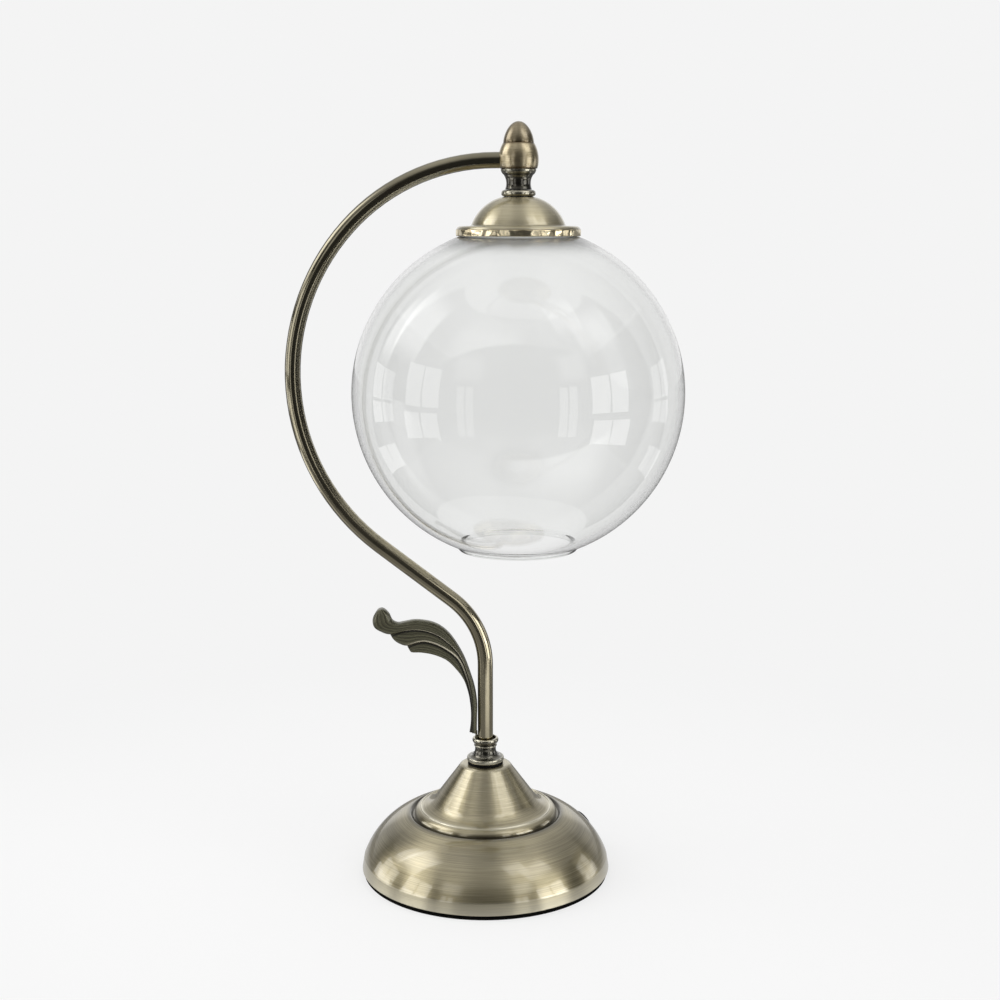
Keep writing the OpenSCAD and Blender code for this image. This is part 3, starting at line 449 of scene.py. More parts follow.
def bellFace(s, depth):
    slope, (footX, footZ) = s["slope"], s["footCentre"]
    # A fine bead runs round the outside, where the flare meets the foot
    bead = moved(s["bead"], footX, footZ + s["footRadius"]) if depth == 0 else []
    return arcPoints(*s["edgeCentre"], s["edgeRadius"] - depth, 90, 90 - slope, 8) \
        + arcPoints(*s["flareCentre"], s["flareRadius"] + depth, 270 - slope, 270 - s["endSlope"], 18) \
        + bead + arcPoints(footX, footZ, s["footRadius"] - depth, 78 if bead else 90 - 6 * depth, 0, 14)


def makeBell(s):
    foot, low = s["footCentre"][0] + s["footRadius"], s["seatHeight"]
    top = s["edgeCentre"][1] + s["edgeRadius"]
    outline = [(s["bore"], top)] + bellFace(s, 0) + [(foot, low), (foot - s["wall"], low)] \
        + bellFace(s, s["wall"])[::-1] + [(s["bore"], top - s["wall"]), (s["bore"], top)]
    piece = turnedMesh(outline, steps=160)
    # painted shade under the foot's roll, patina and painted shade in the top groove, and painted highlights
    # on the bead and the top rim
    paintWearAndLight(piece, 0, [(foot, low + 0.3, 1.7, 0.8), (s["topGroove"], top, 0.5, 0.8)],
              [(s["footCentre"][0] + 0.35, low + 4.4, 0.9, 1.0), (s["topRim"], top - 0.1, 1.2, 0.3)])
    finishPiece(piece, "bellShell", stand, baseBrass, ["base_bell"], smoothAngle=12)


makeDome(domeSizes)
makeBell(bellSizes)

# Grommet of the cord's inlet

grommetSizes = {"bore": 2.7, "body": 4.2, "flange": 5.7, "inside": 35.41, "under": 36.61, "face": 38.35,
                "outside": 39.5}


def makeGrommet(s, dome):
    outline = [(s["bore"], s["inside"]), (s["flange"], s["inside"]), (s["flange"], s["under"]),
               (s["body"], s["under"]), (s["body"], s["face"]), (s["flange"], s["face"])] \
        + smoothPoints([(s["flange"], s["face"] + 0.3), (s["flange"] - 0.35, s["outside"] - 0.25),
                        (s["flange"] - 1.1, s["outside"])], 4) \
        + [(s["bore"] + 0.5, s["outside"]), (s["bore"], s["outside"] - 0.4), (s["bore"], s["inside"])]
    piece = turnedMesh(outline, steps=64, edge=0.08)
    piece.matrix_world = inletPlace(dome)
    applyPlace()
    finishPiece(piece, "inletGrommet", stand, blackRubber, ["cord_grommet"])


makeGrommet(grommetSizes, domeSizes)

# Neck

neckSizes = {"gasketRadius": 8.8, "gasketBore": 4.05, "gasketFoot": 55.957, "foot": 57.457, "flange": 9.2,
             "flangeHeight": 2.2, "flareRadius": 8.3, "flareHeight": 4.1, "waist": 5.2, "bead": 5.7,
             "beadRadius": 0.6, "edge": 0.5, "height": 8.7, "bore": 3.85}
collarSizes = {"foot": 66.157, "radius": 6.5, "height": 3.2, "recess": 1.9, "rim": 1.25, "bore": 3.85,
               "seat": 5.3}


def makeNeck(s):
    ring = washerOutline(s["gasketBore"], s["gasketRadius"], s["gasketFoot"], s["foot"])
    gasket = turnedMesh(ring, steps=96)
    finishPiece(gasket, "neckSeal", stand, blackRubber, ["neck_gasket"])
    flange, thick, high, bead, e = s["flange"], s["flangeHeight"], s["height"], s["beadRadius"], s["edge"]
    flare = [(s["flareRadius"] - (s["flareRadius"] - s["waist"]) * sin(radians(a)),
              thick + s["flareHeight"] * (1 - cos(radians(a)))) for a in range(0, 91, 5)]
    outline = [(s["bore"], 0)] + arcPoints(flange - e, e, e, -90, 0, 5) \
        + arcPoints(flange - e, thick - e, e, 0, 90, 5) + flare + [(s["waist"], high - 1.3)] \
        + arcPoints(s["bead"] - bead, high - 0.7, bead, -90, 90, 10) \
        + [(s["bead"] - 0.7, high), (s["bore"], high), (s["bore"], 0)]
    neck = turnedMesh(moved(outline, 0, s["foot"]), edge=0.08)
    foot = s["foot"]
    # patina and painted shade in the grooves and over the waist, painted highlights on the flange's edge and
    # the bead
    paintWearAndLight(neck, 0,
              [(s["flareRadius"], foot + thick, 0.75, 1.0), (s["waist"], foot + high - 1.4, 0.6, 1.0),
               (s["waist"] + 0.4, foot + high - 4.2, 2.4, 0.7), (flange, foot - 0.2, 0.5, 0.8)],
              [(flange, foot + thick - 0.9, 1.1, 0.9), (s["bead"], foot + high - 0.7, 0.4, 0.4)])
    finishPiece(neck, "neckFlare", stand, neckBrass, ["neck_flare"])


def makeCollar(s):
    r, high = s["radius"], s["height"]
    inner = r - s["rim"]
    outline = [(s["bore"], 0), (s["seat"], 0)] \
        + smoothPoints([(s["seat"] + 0.2, 0.1), (r - 0.45, 0.22 * high), (r, 0.55 * high),
                        (r - 0.15, 0.85 * high), (r - 0.6, high)], 5) \
        + [(inner, high), (inner, high - s["recess"]), (s["bore"], high - s["recess"]), (s["bore"], 0)]
    piece = turnedMesh(moved(outline, 0, s["foot"]), edge=0.1)
    top = s["foot"] + high
    # patina and painted shade at the foot and in the recess, a painted highlight on the rim
    paintWearAndLight(piece, 0, [(s["seat"] + 0.1, s["foot"], 0.6, 1.0), (inner - 0.5, top - s["recess"], 1.7, 1.0)],
              [(r - 0.5, top, 0.7, 0.8)])
    finishPiece(piece, "neckCollar", stand, neckBrass, ["neck_collar"])


makeNeck(neckSizes)
makeCollar(collarSizes)
print("base and neck are made")

# Arm

armSizes = {"radius": 3.8, "wall": 0.8, "foot": 62.357, "upright": 44.7, "bendRadius": 42, "lean": 52.5,
            "run": 44, "lowRadius": 105, "lowTurn": 95, "topRadius": 95, "topTurn": 47.5, "stub": 6.2,
            "stepTurn": 3, "bowShade": 0.62, "bowShadeFrom": 150, "bowShadeTo": 240}


def makeArm(s):
    # A ring is drawn up the upright and swung round each bend, as the tube was bent
    deselectAll()
    bpy.ops.mesh.primitive_circle_add(vertices=48, radius=s["radius"] * mm, location=(0, 0, s["foot"] * mm))
    piece = bpy.context.object
    applyPlace()
    editAll()
    at, heading = Vector((0, s["foot"])), 0.0  # place in XZ and lean to -X, in degrees
    # Straight runs, with their length and no turn, and bends, with radius and turn
    for size, turn in ((s["upright"], 0), (s["bendRadius"], s["lean"]), (s["run"], 0),
                       (s["lowRadius"], -s["lowTurn"]), (s["topRadius"], -s["topTurn"]), (s["stub"], 0)):
        ahead = Vector((-sin(radians(heading)), cos(radians(heading))))
        if turn == 0:
            bpy.ops.mesh.extrude_region_move(
                TRANSFORM_OT_translate={"value": (ahead.x * size * mm, 0, ahead.y * size * mm)})
            at = at + ahead * size
            continue
        side = 1 if turn > 0 else -1
        centre = at + Vector((-ahead.y, ahead.x)) * size * side
        bpy.ops.mesh.spin(steps=int(abs(turn) / s["stepTurn"]), angle=radians(turn), axis=(0, 1, 0),
                          center=(centre.x * mm, 0, centre.y * mm))
        heading += turn
        ahead = Vector((-sin(radians(heading)), cos(radians(heading))))
        at = centre - Vector((-ahead.y, ahead.x)) * size * side
    cleanMesh()
    print("arm ends at", round(at.x, 3), round(at.y, 3))
    wall = piece.modifiers.new("wall", "SOLIDIFY")
    wall.thickness = s["wall"] * mm
    wall.offset = -1
    applyModifiers(piece)
    patinaAndShade = piece.data.attributes.new("patinaAndShade", "FLOAT", "POINT")
    for i, vertex in enumerate(piece.data.vertices):  # painted shade darkens the tube more with height, from the lower bow to full strength over its top
        t = held((vertex.co.z / mm - s["bowShadeFrom"]) / (s["bowShadeTo"] - s["bowShadeFrom"]))
        patinaAndShade.data[i].value = s["bowShade"] * t * t * (3 - 2 * t)
    finishPiece(piece, "armTube", stand, tubeBrass, ["arm_tube"])


makeArm(armSizes)
print("arm is bent")

# Ball, finial and top neck

ballSizes = {"radius": 9.55, "middle": 352.221, "up": 7.9, "down": 3.9, "lowerHeight": 10.2,
             "upperHeight": 12.373}
finialSizes = {"radius": 7.3, "foot": 360.121, "height": 9.98, "fullness": 1.6}
spoolSizes = {"foot": 335.021, "height": 13.3, "bead": 8.2, "beadRadius": 1.6, "beadMiddle": 1.9,
              "waist": 5.85, "top": 8.5, "bore": 4.05}


def makeBall(s):
    r, z = s["radius"], s["middle"]
    low, high = -asin(s["down"] / s["lowerHeight"]), asin(s["up"] / s["upperHeight"])
    lower = [(r * cos(low * t / 12), z + s["lowerHeight"] * sin(low * t / 12)) for t in range(12, -1, -1)]
    upper = [(r * cos(high * t / 18), z + s["upperHeight"] * sin(high * t / 18)) for t in range(1, 19)]
    outline = [(0, z - s["down"])] + lower + upper + [(0, z + s["up"])]
    piece = turnedMesh(outline, topX, steps=144, edge=0.1)
    # patina and painted shade round its top and its foot
    paintWearAndLight(piece, topX, [(*upper[-1], 0.6, 1.0), (*lower[0], 0.7, 1.0)])
    finishPiece(piece, "armBall", stand, ballBrass, ["ball"])


def makeFinial(s):
    curve = [(i / 30) ** 0.7 for i in range(31)]  # closer together towards the tip
    outline = [(0, s["foot"])] + [(s["radius"] * sqrt(1 - t ** s["fullness"]), s["foot"] + s["height"] * t)
                                  for t in curve]
    piece = turnedMesh(outline, topX, edge=0.15)
    # patina and painted shade round its foot
    paintWearAndLight(piece, topX, [(s["radius"], s["foot"], 0.6, 1.0)])
    finishPiece(piece, "finialTip", stand, finialBrass, ["finial"])


def makeSpool(s):
    bead, waist, top, high = s["bead"], s["waist"], s["top"], s["height"]
    outline = [(s["bore"], 0), (bead - 1, 0)] \
        + arcPoints(bead - s["beadRadius"], s["beadMiddle"], s["beadRadius"], -75, 75, 14) \
        + [(waist + 0.6, 3.6)] + smoothPoints([(waist + 0.5, 3.8), (waist + 0.1, 5.2), (waist, high / 2),
                                               (waist + 0.3, high - 4.6), (waist + 1.1, high - 2.9)], 6) \
        + smoothPoints([(top - 1.1, high - 2.6), (top - 0.4, high - 1.6), (top, high - 0.5)], 6) \
        + [(top - 0.3, high), (s["bore"], high), (s["bore"], 0)]
    piece = turnedMesh(moved(outline, 0, s["foot"]), topX, edge=0.08)
    foot = s["foot"]
    # patina and painted shade in the grooves and over the waist, painted highlights on the bead and the top
    paintWearAndLight(piece, topX, [(bead - 1, foot, 0.8, 1.0), (waist + 0.6, foot + 3.6, 0.8, 1.0),
                            (waist, foot + high / 2, 3.4, 0.75), (waist + 1.3, foot + high - 2.75, 0.8, 1.0)],
              [(bead, foot + 2.2, 0.9, 0.5), (top, foot + high - 0.8, 0.7, 0.35)])
    finishPiece(piece, "topSpool", stand, spoolBrass, ["top_neck"])


makeBall(ballSizes)
makeFinial(finialSizes)
makeSpool(spoolSizes)

# Cap, polished ring and gasket

capSizes = {"top": 335.021, "offset": 2.8, "centre": 315.018, "radius": 20.8, "crown": 74.1,
            "foot": 20.85, "brim": 321.821, "brimHeight": 1.6, "brimRadius": 29.4, "wall": 0.8, "bore": 4.05,
            "topGroove": 7.0}
ringSizes = {"foot": 317.021, "top": 320.221, "radius": 29.6, "bore": 27.8, "spigot": 28.55,
             "spigotTop": 320.971, "edge": 0.5}
sealSizes = {"foot": 320.221, "top": 321.021, "inner": 24.8, "outer": 27.4}


def makeCap(s):
    brim, rim, wall, centre = s["brim"], s["brimRadius"], s["wall"], s["centre"]
    side = s["offset"] + s["radius"] * cos(radians(s["foot"]))
    brimFoot, under, inside = brim - s["brimHeight"], brim - wall, s["radius"] - wall
    innerFoot = degrees(asin((under - centre) / inside))
    innerCrown = degrees(asin((s["top"] - wall - centre) / inside))
    outline = [(s["bore"], s["top"])] \
        + arcPoints(s["offset"], centre, s["radius"], s["crown"], s["foot"], 30) \
        + [(side + 0.15, brim + 0.35), (side + 0.35, brim + 0.15), (side + 0.9, brim)] \
        + smoothPoints([(rim - 1.6, brim - 0.15), (rim - 0.6, brim - 0.4 * s["brimHeight"]),
                        (rim, brimFoot)], 6) \
        + [(rim - wall, brimFoot), (rim - wall, under)] \
        + arcPoints(s["offset"], centre, inside, innerFoot, innerCrown, 24) \
        + [(s["bore"], s["top"] - wall), (s["bore"], s["top"])]
    piece = turnedMesh(outline, topX, steps=160, edge=0.1)
    # patina and painted shade at the brim's step, round the top and under the brim
    paintWearAndLight(piece, topX, [(side + 0.3, brim + 0.1, 0.5, 0.5), (s["topGroove"], s["top"], 0.9, 0.9),
                            (rim, brimFoot, 0.35, 0.6)])
    finishPiece(piece, "capDome", stand, capBrass, ["cap_dome"])


def makeRing(s):
    r, foot, top = s["radius"], s["foot"], s["top"]
    outline = [(r - s["edge"], foot)] \
        + smoothPoints([(r - 0.25, foot), (r, foot + 0.5), (r, top - 0.5), (r - 0.25, top)], 5) \
        + [(s["spigot"], top), (s["spigot"], s["spigotTop"]), (s["bore"], s["spigotTop"]),
           (s["bore"], foot + 0.9), (r - s["edge"], foot)]
    piece = turnedMesh(outline, topX, steps=160, edge=0.08)
    # patina and painted shade along its top and foot edges
    paintWearAndLight(piece, topX, [(r, top, 0.3, 0.5), (r - 0.4, foot, 0.3, 0.4)])
    finishPiece(piece, "shadeRing", stand, ringBrass, ["polished_ring"])


def makeSeal(s):
    piece = turnedMesh(washerOutline(s["inner"], s["outer"], s["foot"], s["top"]), topX, edge=0.15)
    finishPiece(piece, "shadeSeal", stand, whiteSilicone, ["shade_gasket"])


makeCap(capSizes)
makeRing(ringSizes)
makeSeal(sealSizes)
print("top is made")

# Globe

globeSizes = {"middle": 242.002, "radius": 80, "wall": 2.7, "neck": 27.2, "neckBore": 24.7, "top": 319.921,
              "shoulder": 28.4, "lip": 29.2, "mouth": 26.4, "foot": 166.021,
              "neckShade": ((2, -3, 9, 1.0),)}  # from the top of the neck


def turnAt(distance, radius):  # where a ball's outline has this distance from the axis
    return degrees(acos(distance / radius))


def makeGlobe(s):
    z, outer, inner = s["middle"], s["radius"], s["radius"] - s["wall"]
    neck, bore, lip, mouth, top, foot = s["neck"], s["neckBore"], s["lip"], s["mouth"], s["top"], s["foot"]
    shoulder, mouthTop = s["shoulder"], z - sqrt(inner ** 2 - mouth ** 2)
    outline = [(neck, top - 0.5), (neck, top - 2.0)] \
        + smoothPoints([(neck + 0.05, top - 2.3), (neck + 0.3, top - 2.9),
                        (shoulder, z + sqrt(outer ** 2 - shoulder ** 2))], 4) \
        + arcPoints(0, z, outer, turnAt(shoulder + 0.6, outer), -turnAt(lip + 0.4, outer), 90) \
        + smoothPoints([(lip + 0.05, z - sqrt(outer ** 2 - lip ** 2) - 0.05), (lip, foot + 0.7),
                        (lip - 0.35, foot + 0.1), (lip - 0.9, foot), (mouth + 0.9, foot),
                        (mouth + 0.35, foot + 0.1), (mouth, foot + 0.7), (mouth, mouthTop - 1.8),
                        (mouth + 0.4, mouthTop - 0.5), (mouth + 1.6, mouthTop + 0.52)], 4) \
        + arcPoints(0, z, inner, -turnAt(mouth + 2.4, inner), turnAt(bore + 0.6, inner), 90) \
        + smoothPoints([(bore + 0.05, z + sqrt(inner ** 2 - bore ** 2) + 0.3), (bore, top - 3),
                        (bore, top - 0.5), (bore + 0.4, top), (neck - 0.4, top), (neck, top - 0.5)], 4)
    piece = turnedMesh(outline, topX, steps=192, edge=0)
    # painted shade on the glass round and under its neck
    paintWearAndLight(piece, topX, moved(s["neckShade"], neck, top))
    finishPiece(piece, "glassGlobe", shade, clearGlass, ["globe"], smoothAngle=60)


makeGlobe(globeSizes)
print("globe is blown")

# Leaf of three lobes, each fuller than the last; points are from the tube's side and the collar's top

leafSizes = {
    "origin": (-3.8, 69.357), "halfThickness": (3.35, 2.6, 1.9), "overlap": 0.9, "rim": 0.42,
    "rimAt": 1.0, "rimReach": 0.42, "rimFade": 0.08, "rimShine": 1.0, "grooves": 5, "grooveDepth": 0.16,
    "grid": (120, 56), "samples": 400, "crownPower": 3.4, "crownRoot": 2.6, "endPower": 40,
    "rimEnds": (0.8, 0.88, 0), "secondEnd": (-43.2, 53.4), "thirdEnd": (-34.9, 47.5),
    "back": [(-0.5, 2), (-0.4, 10), (-0.3, 18), (-1.4, 26), (-3.8, 34), (-6.7, 41.8), (-10.3, 48.6),
             (-14.3, 54.2), (-18.8, 57.9), (-23.8, 59.9), (-30.4, 60.7), (-35.4, 59.9), (-39, 59.2),
             (-42, 60.5), (-43.6, 63.8), (-46, 66.1), (-48, 66.25)],
    "firstRidge": [(-2.2, 2), (-2.2, 12), (-3, 22), (-5.4, 34), (-9.8, 44.2), (-17.8, 51.6), (-24, 54.6),
                   (-30.4, 55.7), (-36.5, 55.2), (-43.2, 53.3)],
    "tip": [(-47.8, 54.6), (-51.2, 57), (-51.8, 61.2), (-49.6, 65.4), (-48, 66.25)],
    "secondRidge": [(-2.8, 2), (-2.8, 12), (-3.8, 22), (-6.2, 32), (-10.2, 40.6), (-17.8, 46.4),
                    (-25.4, 49.2), (-30, 48.9), (-34.9, 47.4)],
    "secondTip": [(-38.6, 48.4), (-41.4, 50.4), (-43.2, 53.3)],
    "front": [(-4.2, 2.6), (-3.6, 7), (-3.4, 12.6), (-3.8, 17.8), (-4.7, 23.2), (-6.8, 29.6), (-10.3, 34.8),
              (-15.4, 39.9), (-21.9, 42.7), (-27.9, 43.8), (-32.6, 44)],
    "frontTip": [(-33.9, 45.4), (-34.9, 47.4)],
    "tab": ((-5.05, -4.0), (-1, 1), (67.46, 72.6))}


def pointAfter(line, k, t):  # this share of the way from point k to the next
    return tuple(line[k][n] + (line[k + 1][n] - line[k][n]) * t for n in (0, 1))


def evenPoints(line, count):  # the line again, with evenly spaced points
    lengths = [0.0]
    for a, b in zip(line, line[1:]):
        lengths.append(lengths[-1] + hypot(b[0] - a[0], b[1] - a[1]))
    points, k = [], 0
    for i in range(count + 1):
        want = lengths[-1] * i / count
        while k < len(line) - 2 and lengths[k + 1] < want:
            k += 1
        points.append(pointAfter(line, k, (want - lengths[k]) / (lengths[k + 1] - lengths[k])))
    return points


def leafLobe(s, upper, lower, inShadow, half, rimEnd):
    # A flat grid is laid between the lobe's edges, domed towards the front and mirrored for the back
    deselectAll()
    bpy.ops.mesh.primitive_grid_add(x_subdivisions=s["grid"][0], y_subdivisions=s["grid"][1], size=1)
    lobe = bpy.context.object
    count = s["samples"]
    upper, lower = evenPoints(smoothPoints(upper), count), evenPoints(smoothPoints(lower), count)
    patinaAndShade = lobe.data.attributes.new("patinaAndShade", "FLOAT", "POINT")
    rubbedAndHighlight = lobe.data.attributes.new("rubbedAndHighlight", "FLOAT", "POINT")
    for i, vertex in enumerate(lobe.data.vertices):
        t = (1 - cos(pi * (vertex.co.x + 0.5))) / 2
        across = (1 - cos(pi * (vertex.co.y + 0.5))) / 2
        k = min(int(t * count), count - 1)
        a, b = pointAfter(upper, k, t * count - k), pointAfter(lower, k, t * count - k)
        width = hypot(b[0] - a[0], b[1] - a[1])
        crown = max(0, 1 - abs(2 * across - 1) ** s["crownPower"]) ** (1 / s["crownRoot"])
        ends = sqrt(max(0, 1 - abs(2 * t - 1) ** s["endPower"]))
        fromLower, fromUpper = (1 - across) * width, across * width
        rim = exp(-((fromLower - s["rimAt"]) / s["rimReach"]) ** 2) * held((rimEnd - t) / s["rimFade"])
        groove = s["grooveDepth"] * (1 - cos(2 * pi * s["grooves"] * across)) / 2 * min(1, width / 5)
        y = (half * crown + s["rim"] * rim * crown - groove * crown ** 3) * ends
        # painted highlight along the raised rim, as rubbed metal
        rubbedAndHighlight.data[i].value = rim * s["rimShine"] * held((-a[0] - 2) / 6)
        # painted shadow under the lobe above, and patina and painted shade in the grooves
        patinaAndShade.data[i].value = max(inShadow * exp(-((fromUpper - s["overlap"] - 0.3) / 0.8) ** 2),
                                   0.5 * groove / s["grooveDepth"])
        vertex.co = ((s["origin"][0] + a[0] + (b[0] - a[0]) * across) * mm, -y * mm,
                     (s["origin"][1] + a[1] + (b[1] - a[1]) * across) * mm)
    mirror = lobe.modifiers.new("otherSide", "MIRROR")
    mirror.use_axis = (False, True, False)
    mirror.merge_threshold = 0.005 * mm
    applyModifiers(lobe)
    bpy.ops.object.mode_set(mode="EDIT")
    cleanMesh()
    return lobe


def makeLeaf(s):
    def tucked(line):  # a lobe's upper edge, moved under the lobe above it
        return [(x + s["overlap"] * (0.4 + 0.6 * min(1, -x / 12)), z + s["overlap"] * min(1, -x / 12))
                for x, z in line]

    # Upper and lower edge, and whether the upper one lies under another lobe and gets painted shadow
    edges = ((s["back"], s["firstRidge"] + s["tip"], 0),
             (tucked(s["firstRidge"][:-1]) + [s["secondEnd"]], s["secondRidge"] + s["secondTip"], 1),
             (tucked(s["secondRidge"][:-1]) + [s["thirdEnd"]], s["front"] + s["frontTip"], 1))
    lobes = [leafLobe(s, *edge, half, rimEnd)
             for edge, half, rimEnd in zip(edges, s["halfThickness"], s["rimEnds"])]
    deselectAll()
    bpy.ops.mesh.primitive_cube_add(size=1, location=[(a + b) / 2 * mm for a, b in s["tab"]],
                                    scale=[(b - a) * mm for a, b in s["tab"]])
    applyPlace()
    for lobe in lobes:
        lobe.select_set(True)
    bpy.context.view_layer.objects.active = lobes[0]
    bpy.ops.object.join()
    finishPiece(lobes[0], "castLeaf", stand, leafBrass, ["leaf"], smoothAngle=50)


makeLeaf(leafSizes)
print("leaf is cast")

# Finishes of the CAD nodes that stay

nodeFinishes = {
    "base_plate": zincSteel, "base_weight": castIron, "weight_screws": zincSteel, "base_pipe": zincSteel,
    "base_washer": zincSteel, "base_nut": plainBrass, "terminal_block": blockPlastic,
    "terminal_tubes": plainBrass, "terminal_screws": zincSteel, "terminal_fixing_screw": zincSteel,
    "top_pipe": zincSteel, "top_washer": zincSteel, "top_nut": plainBrass, "shade_clips": zincSteel,
    "holder_bracket": zincSteel, "lamp_holder": glazedCeramic, "holder_contacts": plainBrass,
    "holder_screws": zincSteel, "lead_live": brownCover, "lead_neutral": blueCover}
for node, finish in nodeFinishes.items():
    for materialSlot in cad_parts[node].material_slots:
        materialSlot.material = finish

# Floor, surroundings, lamps and camera

studio = {
    "pale": 0.905, "paleReach": 0.65, "backFrom": 0.5, "ambient": 0.75,
    # Floor, in m: its size, its light round the lamp, and what gloss sees of it
    "floorSize": (9, 5.9), "floorMiddle": 2.6, "floorLight": 0.22, "floorSpan": (0.12, 0.42),
    "floorMatte": 0.25, "floorBounce": 0.6, "floorGloss": 0.2, "footGloss": 0.4, "footSpan": (0.16, 0.09),
    # Pools of window light: turn, half width inside and outside the blur, strength
    "pools": ((30, 14, 41, 0.85), (-85, 4, 13, 0.5)), "poolSpan": (0.15, 0.3),
    # Room: nearness of its walls, light of ceiling, walls and cove, and what is lighter or darker
    "sideWall": 1.25, "farWall": 1.6, "horizon": 0.10, "ceiling": 0.88, "ceilingSpan": (0.33, 1),
    "wallShare": 0.55, "wallEdge": 0.02, "cove": 0.3, "coveWidth": 0.05,
    "behindSpan": (0.85, 0.93), "besideSpan": (0.5, 0.8), "backShare": 0.5,
    "stripSpan": (0.08, 0.28), "frontSpan": (0.3, 0.5), "frontShare": 0.75}
# Ring of windows, in m: none hangs lower than drop under the centre; bars are in degrees
windows = {"centre": (0.016, 0, 0.2), "distance": 1.1, "drop": 0.17, "bar": 1.2}
softBoxes = [  # turn, low, high and wide in degrees; soft is the share that fades at an edge
    {"turn": -89, "low": 14, "high": 60, "wide": 28, "bright": 2.3, "soft": (0.1, 0.35)},
    {"turn": -106, "low": 10, "high": 48, "wide": 13, "bright": 1.9, "soft": (0.15, 0.35)},
    {"turn": 44, "low": 40, "high": 68, "wide": 20, "bright": 1.35, "soft": (0.12, 0.4)},
    {"turn": 64, "low": 26, "high": 56, "wide": 32, "bright": 1.5, "soft": (0.12, 0.4)},
    {"turn": -66, "low": -26, "high": 20, "wide": 26, "bright": 1.8, "panes": (2, 2)},
    {"turn": -102, "low": -30, "high": 12, "wide": 22, "bright": 1.5, "panes": (2, 3)},
    {"turn": 62, "low": -28, "high": 16, "wide": 28, "bright": 2.4, "panes": (2, 2)},
    {"turn": 109, "low": -30, "high": 12, "wide": 18, "bright": 1.0, "panes": (2, 3)},
    {"turn": -35, "low": -20, "high": 12, "wide": 11, "bright": 1.0, "panes": (2, 1)},
    {"turn": 32, "low": -20, "high": 12, "wide": 12, "bright": 1.4, "panes": (2, 1)},
    {"turn": -34, "low": 12, "high": 34, "wide": 26, "bright": 0.8, "soft": (0.3, 0.3)},
    {"turn": 36, "low": 12, "high": 34, "wide": 24, "bright": 1.0, "soft": (0.3, 0.3)}]
cameraSizes = {"place": (7.3, -752, 324.4), "tilt": 79.87, "lens": 56.376}


def grey(value):
    return (value, value, value, 1)


def mixShaders(owner, share, first, second):
    return addNode(owner, "MixShader", {0: share, 1: first, 2: second}).outputs[0]


def paleRays(owner, rays, back, limit):
    # The camera's rays, also through glass, but not those that metal has turned away from the backdrop
    straight = reckon(owner, "LESS_THAN", rays.outputs["Glossy Depth"], 0.5)  # no such bounce yet
    either = reckon(owner, "MAXIMUM", straight, reckon(owner, "GREATER_THAN", back, limit))
    through = reckon(owner, "MULTIPLY", either, rays.outputs["Is Transmission Ray"])
    return reckon(owner, "MAXIMUM", rays.outputs["Is Camera Ray"], through)


def sharpRays(owner, rays):
    return reckon(owner, "MAXIMUM", rays.outputs["Is Glossy Ray"], rays.outputs["Is Transmission Ray"])


def makeFloor(s):
    deselectAll()
    bpy.ops.mesh.primitive_plane_add(size=1, location=(0, s["floorMiddle"], 0))
    floor = bpy.context.object
    floor.scale = (*s["floorSize"], 1)
    applyPlace()
    floor.name = "floor"
    look = bpy.data.materials.new("paleFloor")
    look.use_nodes = True
    look.node_tree.nodes.clear()
    rays = addNode(look, "LightPath")
    place = addNode(look, "TexCoord").outputs["Object"]
    far = reckonVector(look, "LENGTH", place)
    way = reckonVector(look, "NORMALIZE", place)
    back = reckon(look, "MAXIMUM", addNode(look, "SeparateXYZ", {0: way}).outputs[1],
                  reckon(look, "SUBTRACT", s["paleReach"], far))
    near = mapped(look, far, s["floorSpan"], (1, 0), smooth=True)
    pale = addNode(look, "Emission", {"Color": grey(s["pale"])}).outputs[0]
    part = addNode(look, "Emission", {"Color": grey(s["pale"] - s["floorLight"])}).outputs[0]
    matte = addNode(look, "BsdfDiffuse", {"Color": grey(s["floorMatte"])}).outputs[0]
    shown = mixShaders(look, near, pale, addNode(look, "AddShader", {0: part, 1: matte}).outputs[0])
    # Gloss sees a dim floor, lighter at the lamp's foot and in the pools
    light = mapped(look, far, s["footSpan"], (s["floorGloss"], s["floorGloss"] + s["footGloss"]))
    afar = mapped(look, far, s["poolSpan"])
    for turn, inside, outside, strength in s["pools"]:
        toPool = reckonVector(look, "DOT_PRODUCT", way, (sin(radians(turn)), -cos(radians(turn)), 0))
        pool = mapped(look, toPool, (cos(radians(outside)), cos(radians(inside))), (0, strength), smooth=True)
        light = reckon(look, "MULTIPLY_ADD", pool, afar, light)
    mirrored = addNode(look, "Emission", {"Color": grey(1), "Strength": light}).outputs[0]
    plain = addNode(look, "BsdfDiffuse", {"Color": grey(s["floorBounce"])}).outputs[0]
    other = mixShaders(look, sharpRays(look, rays), plain, mirrored)
    whole = mixShaders(look, paleRays(look, rays, back, s["backFrom"]), other, shown)
    addNode(look, "OutputMaterial", {"Surface": whole})
    floor.data.materials.append(look)


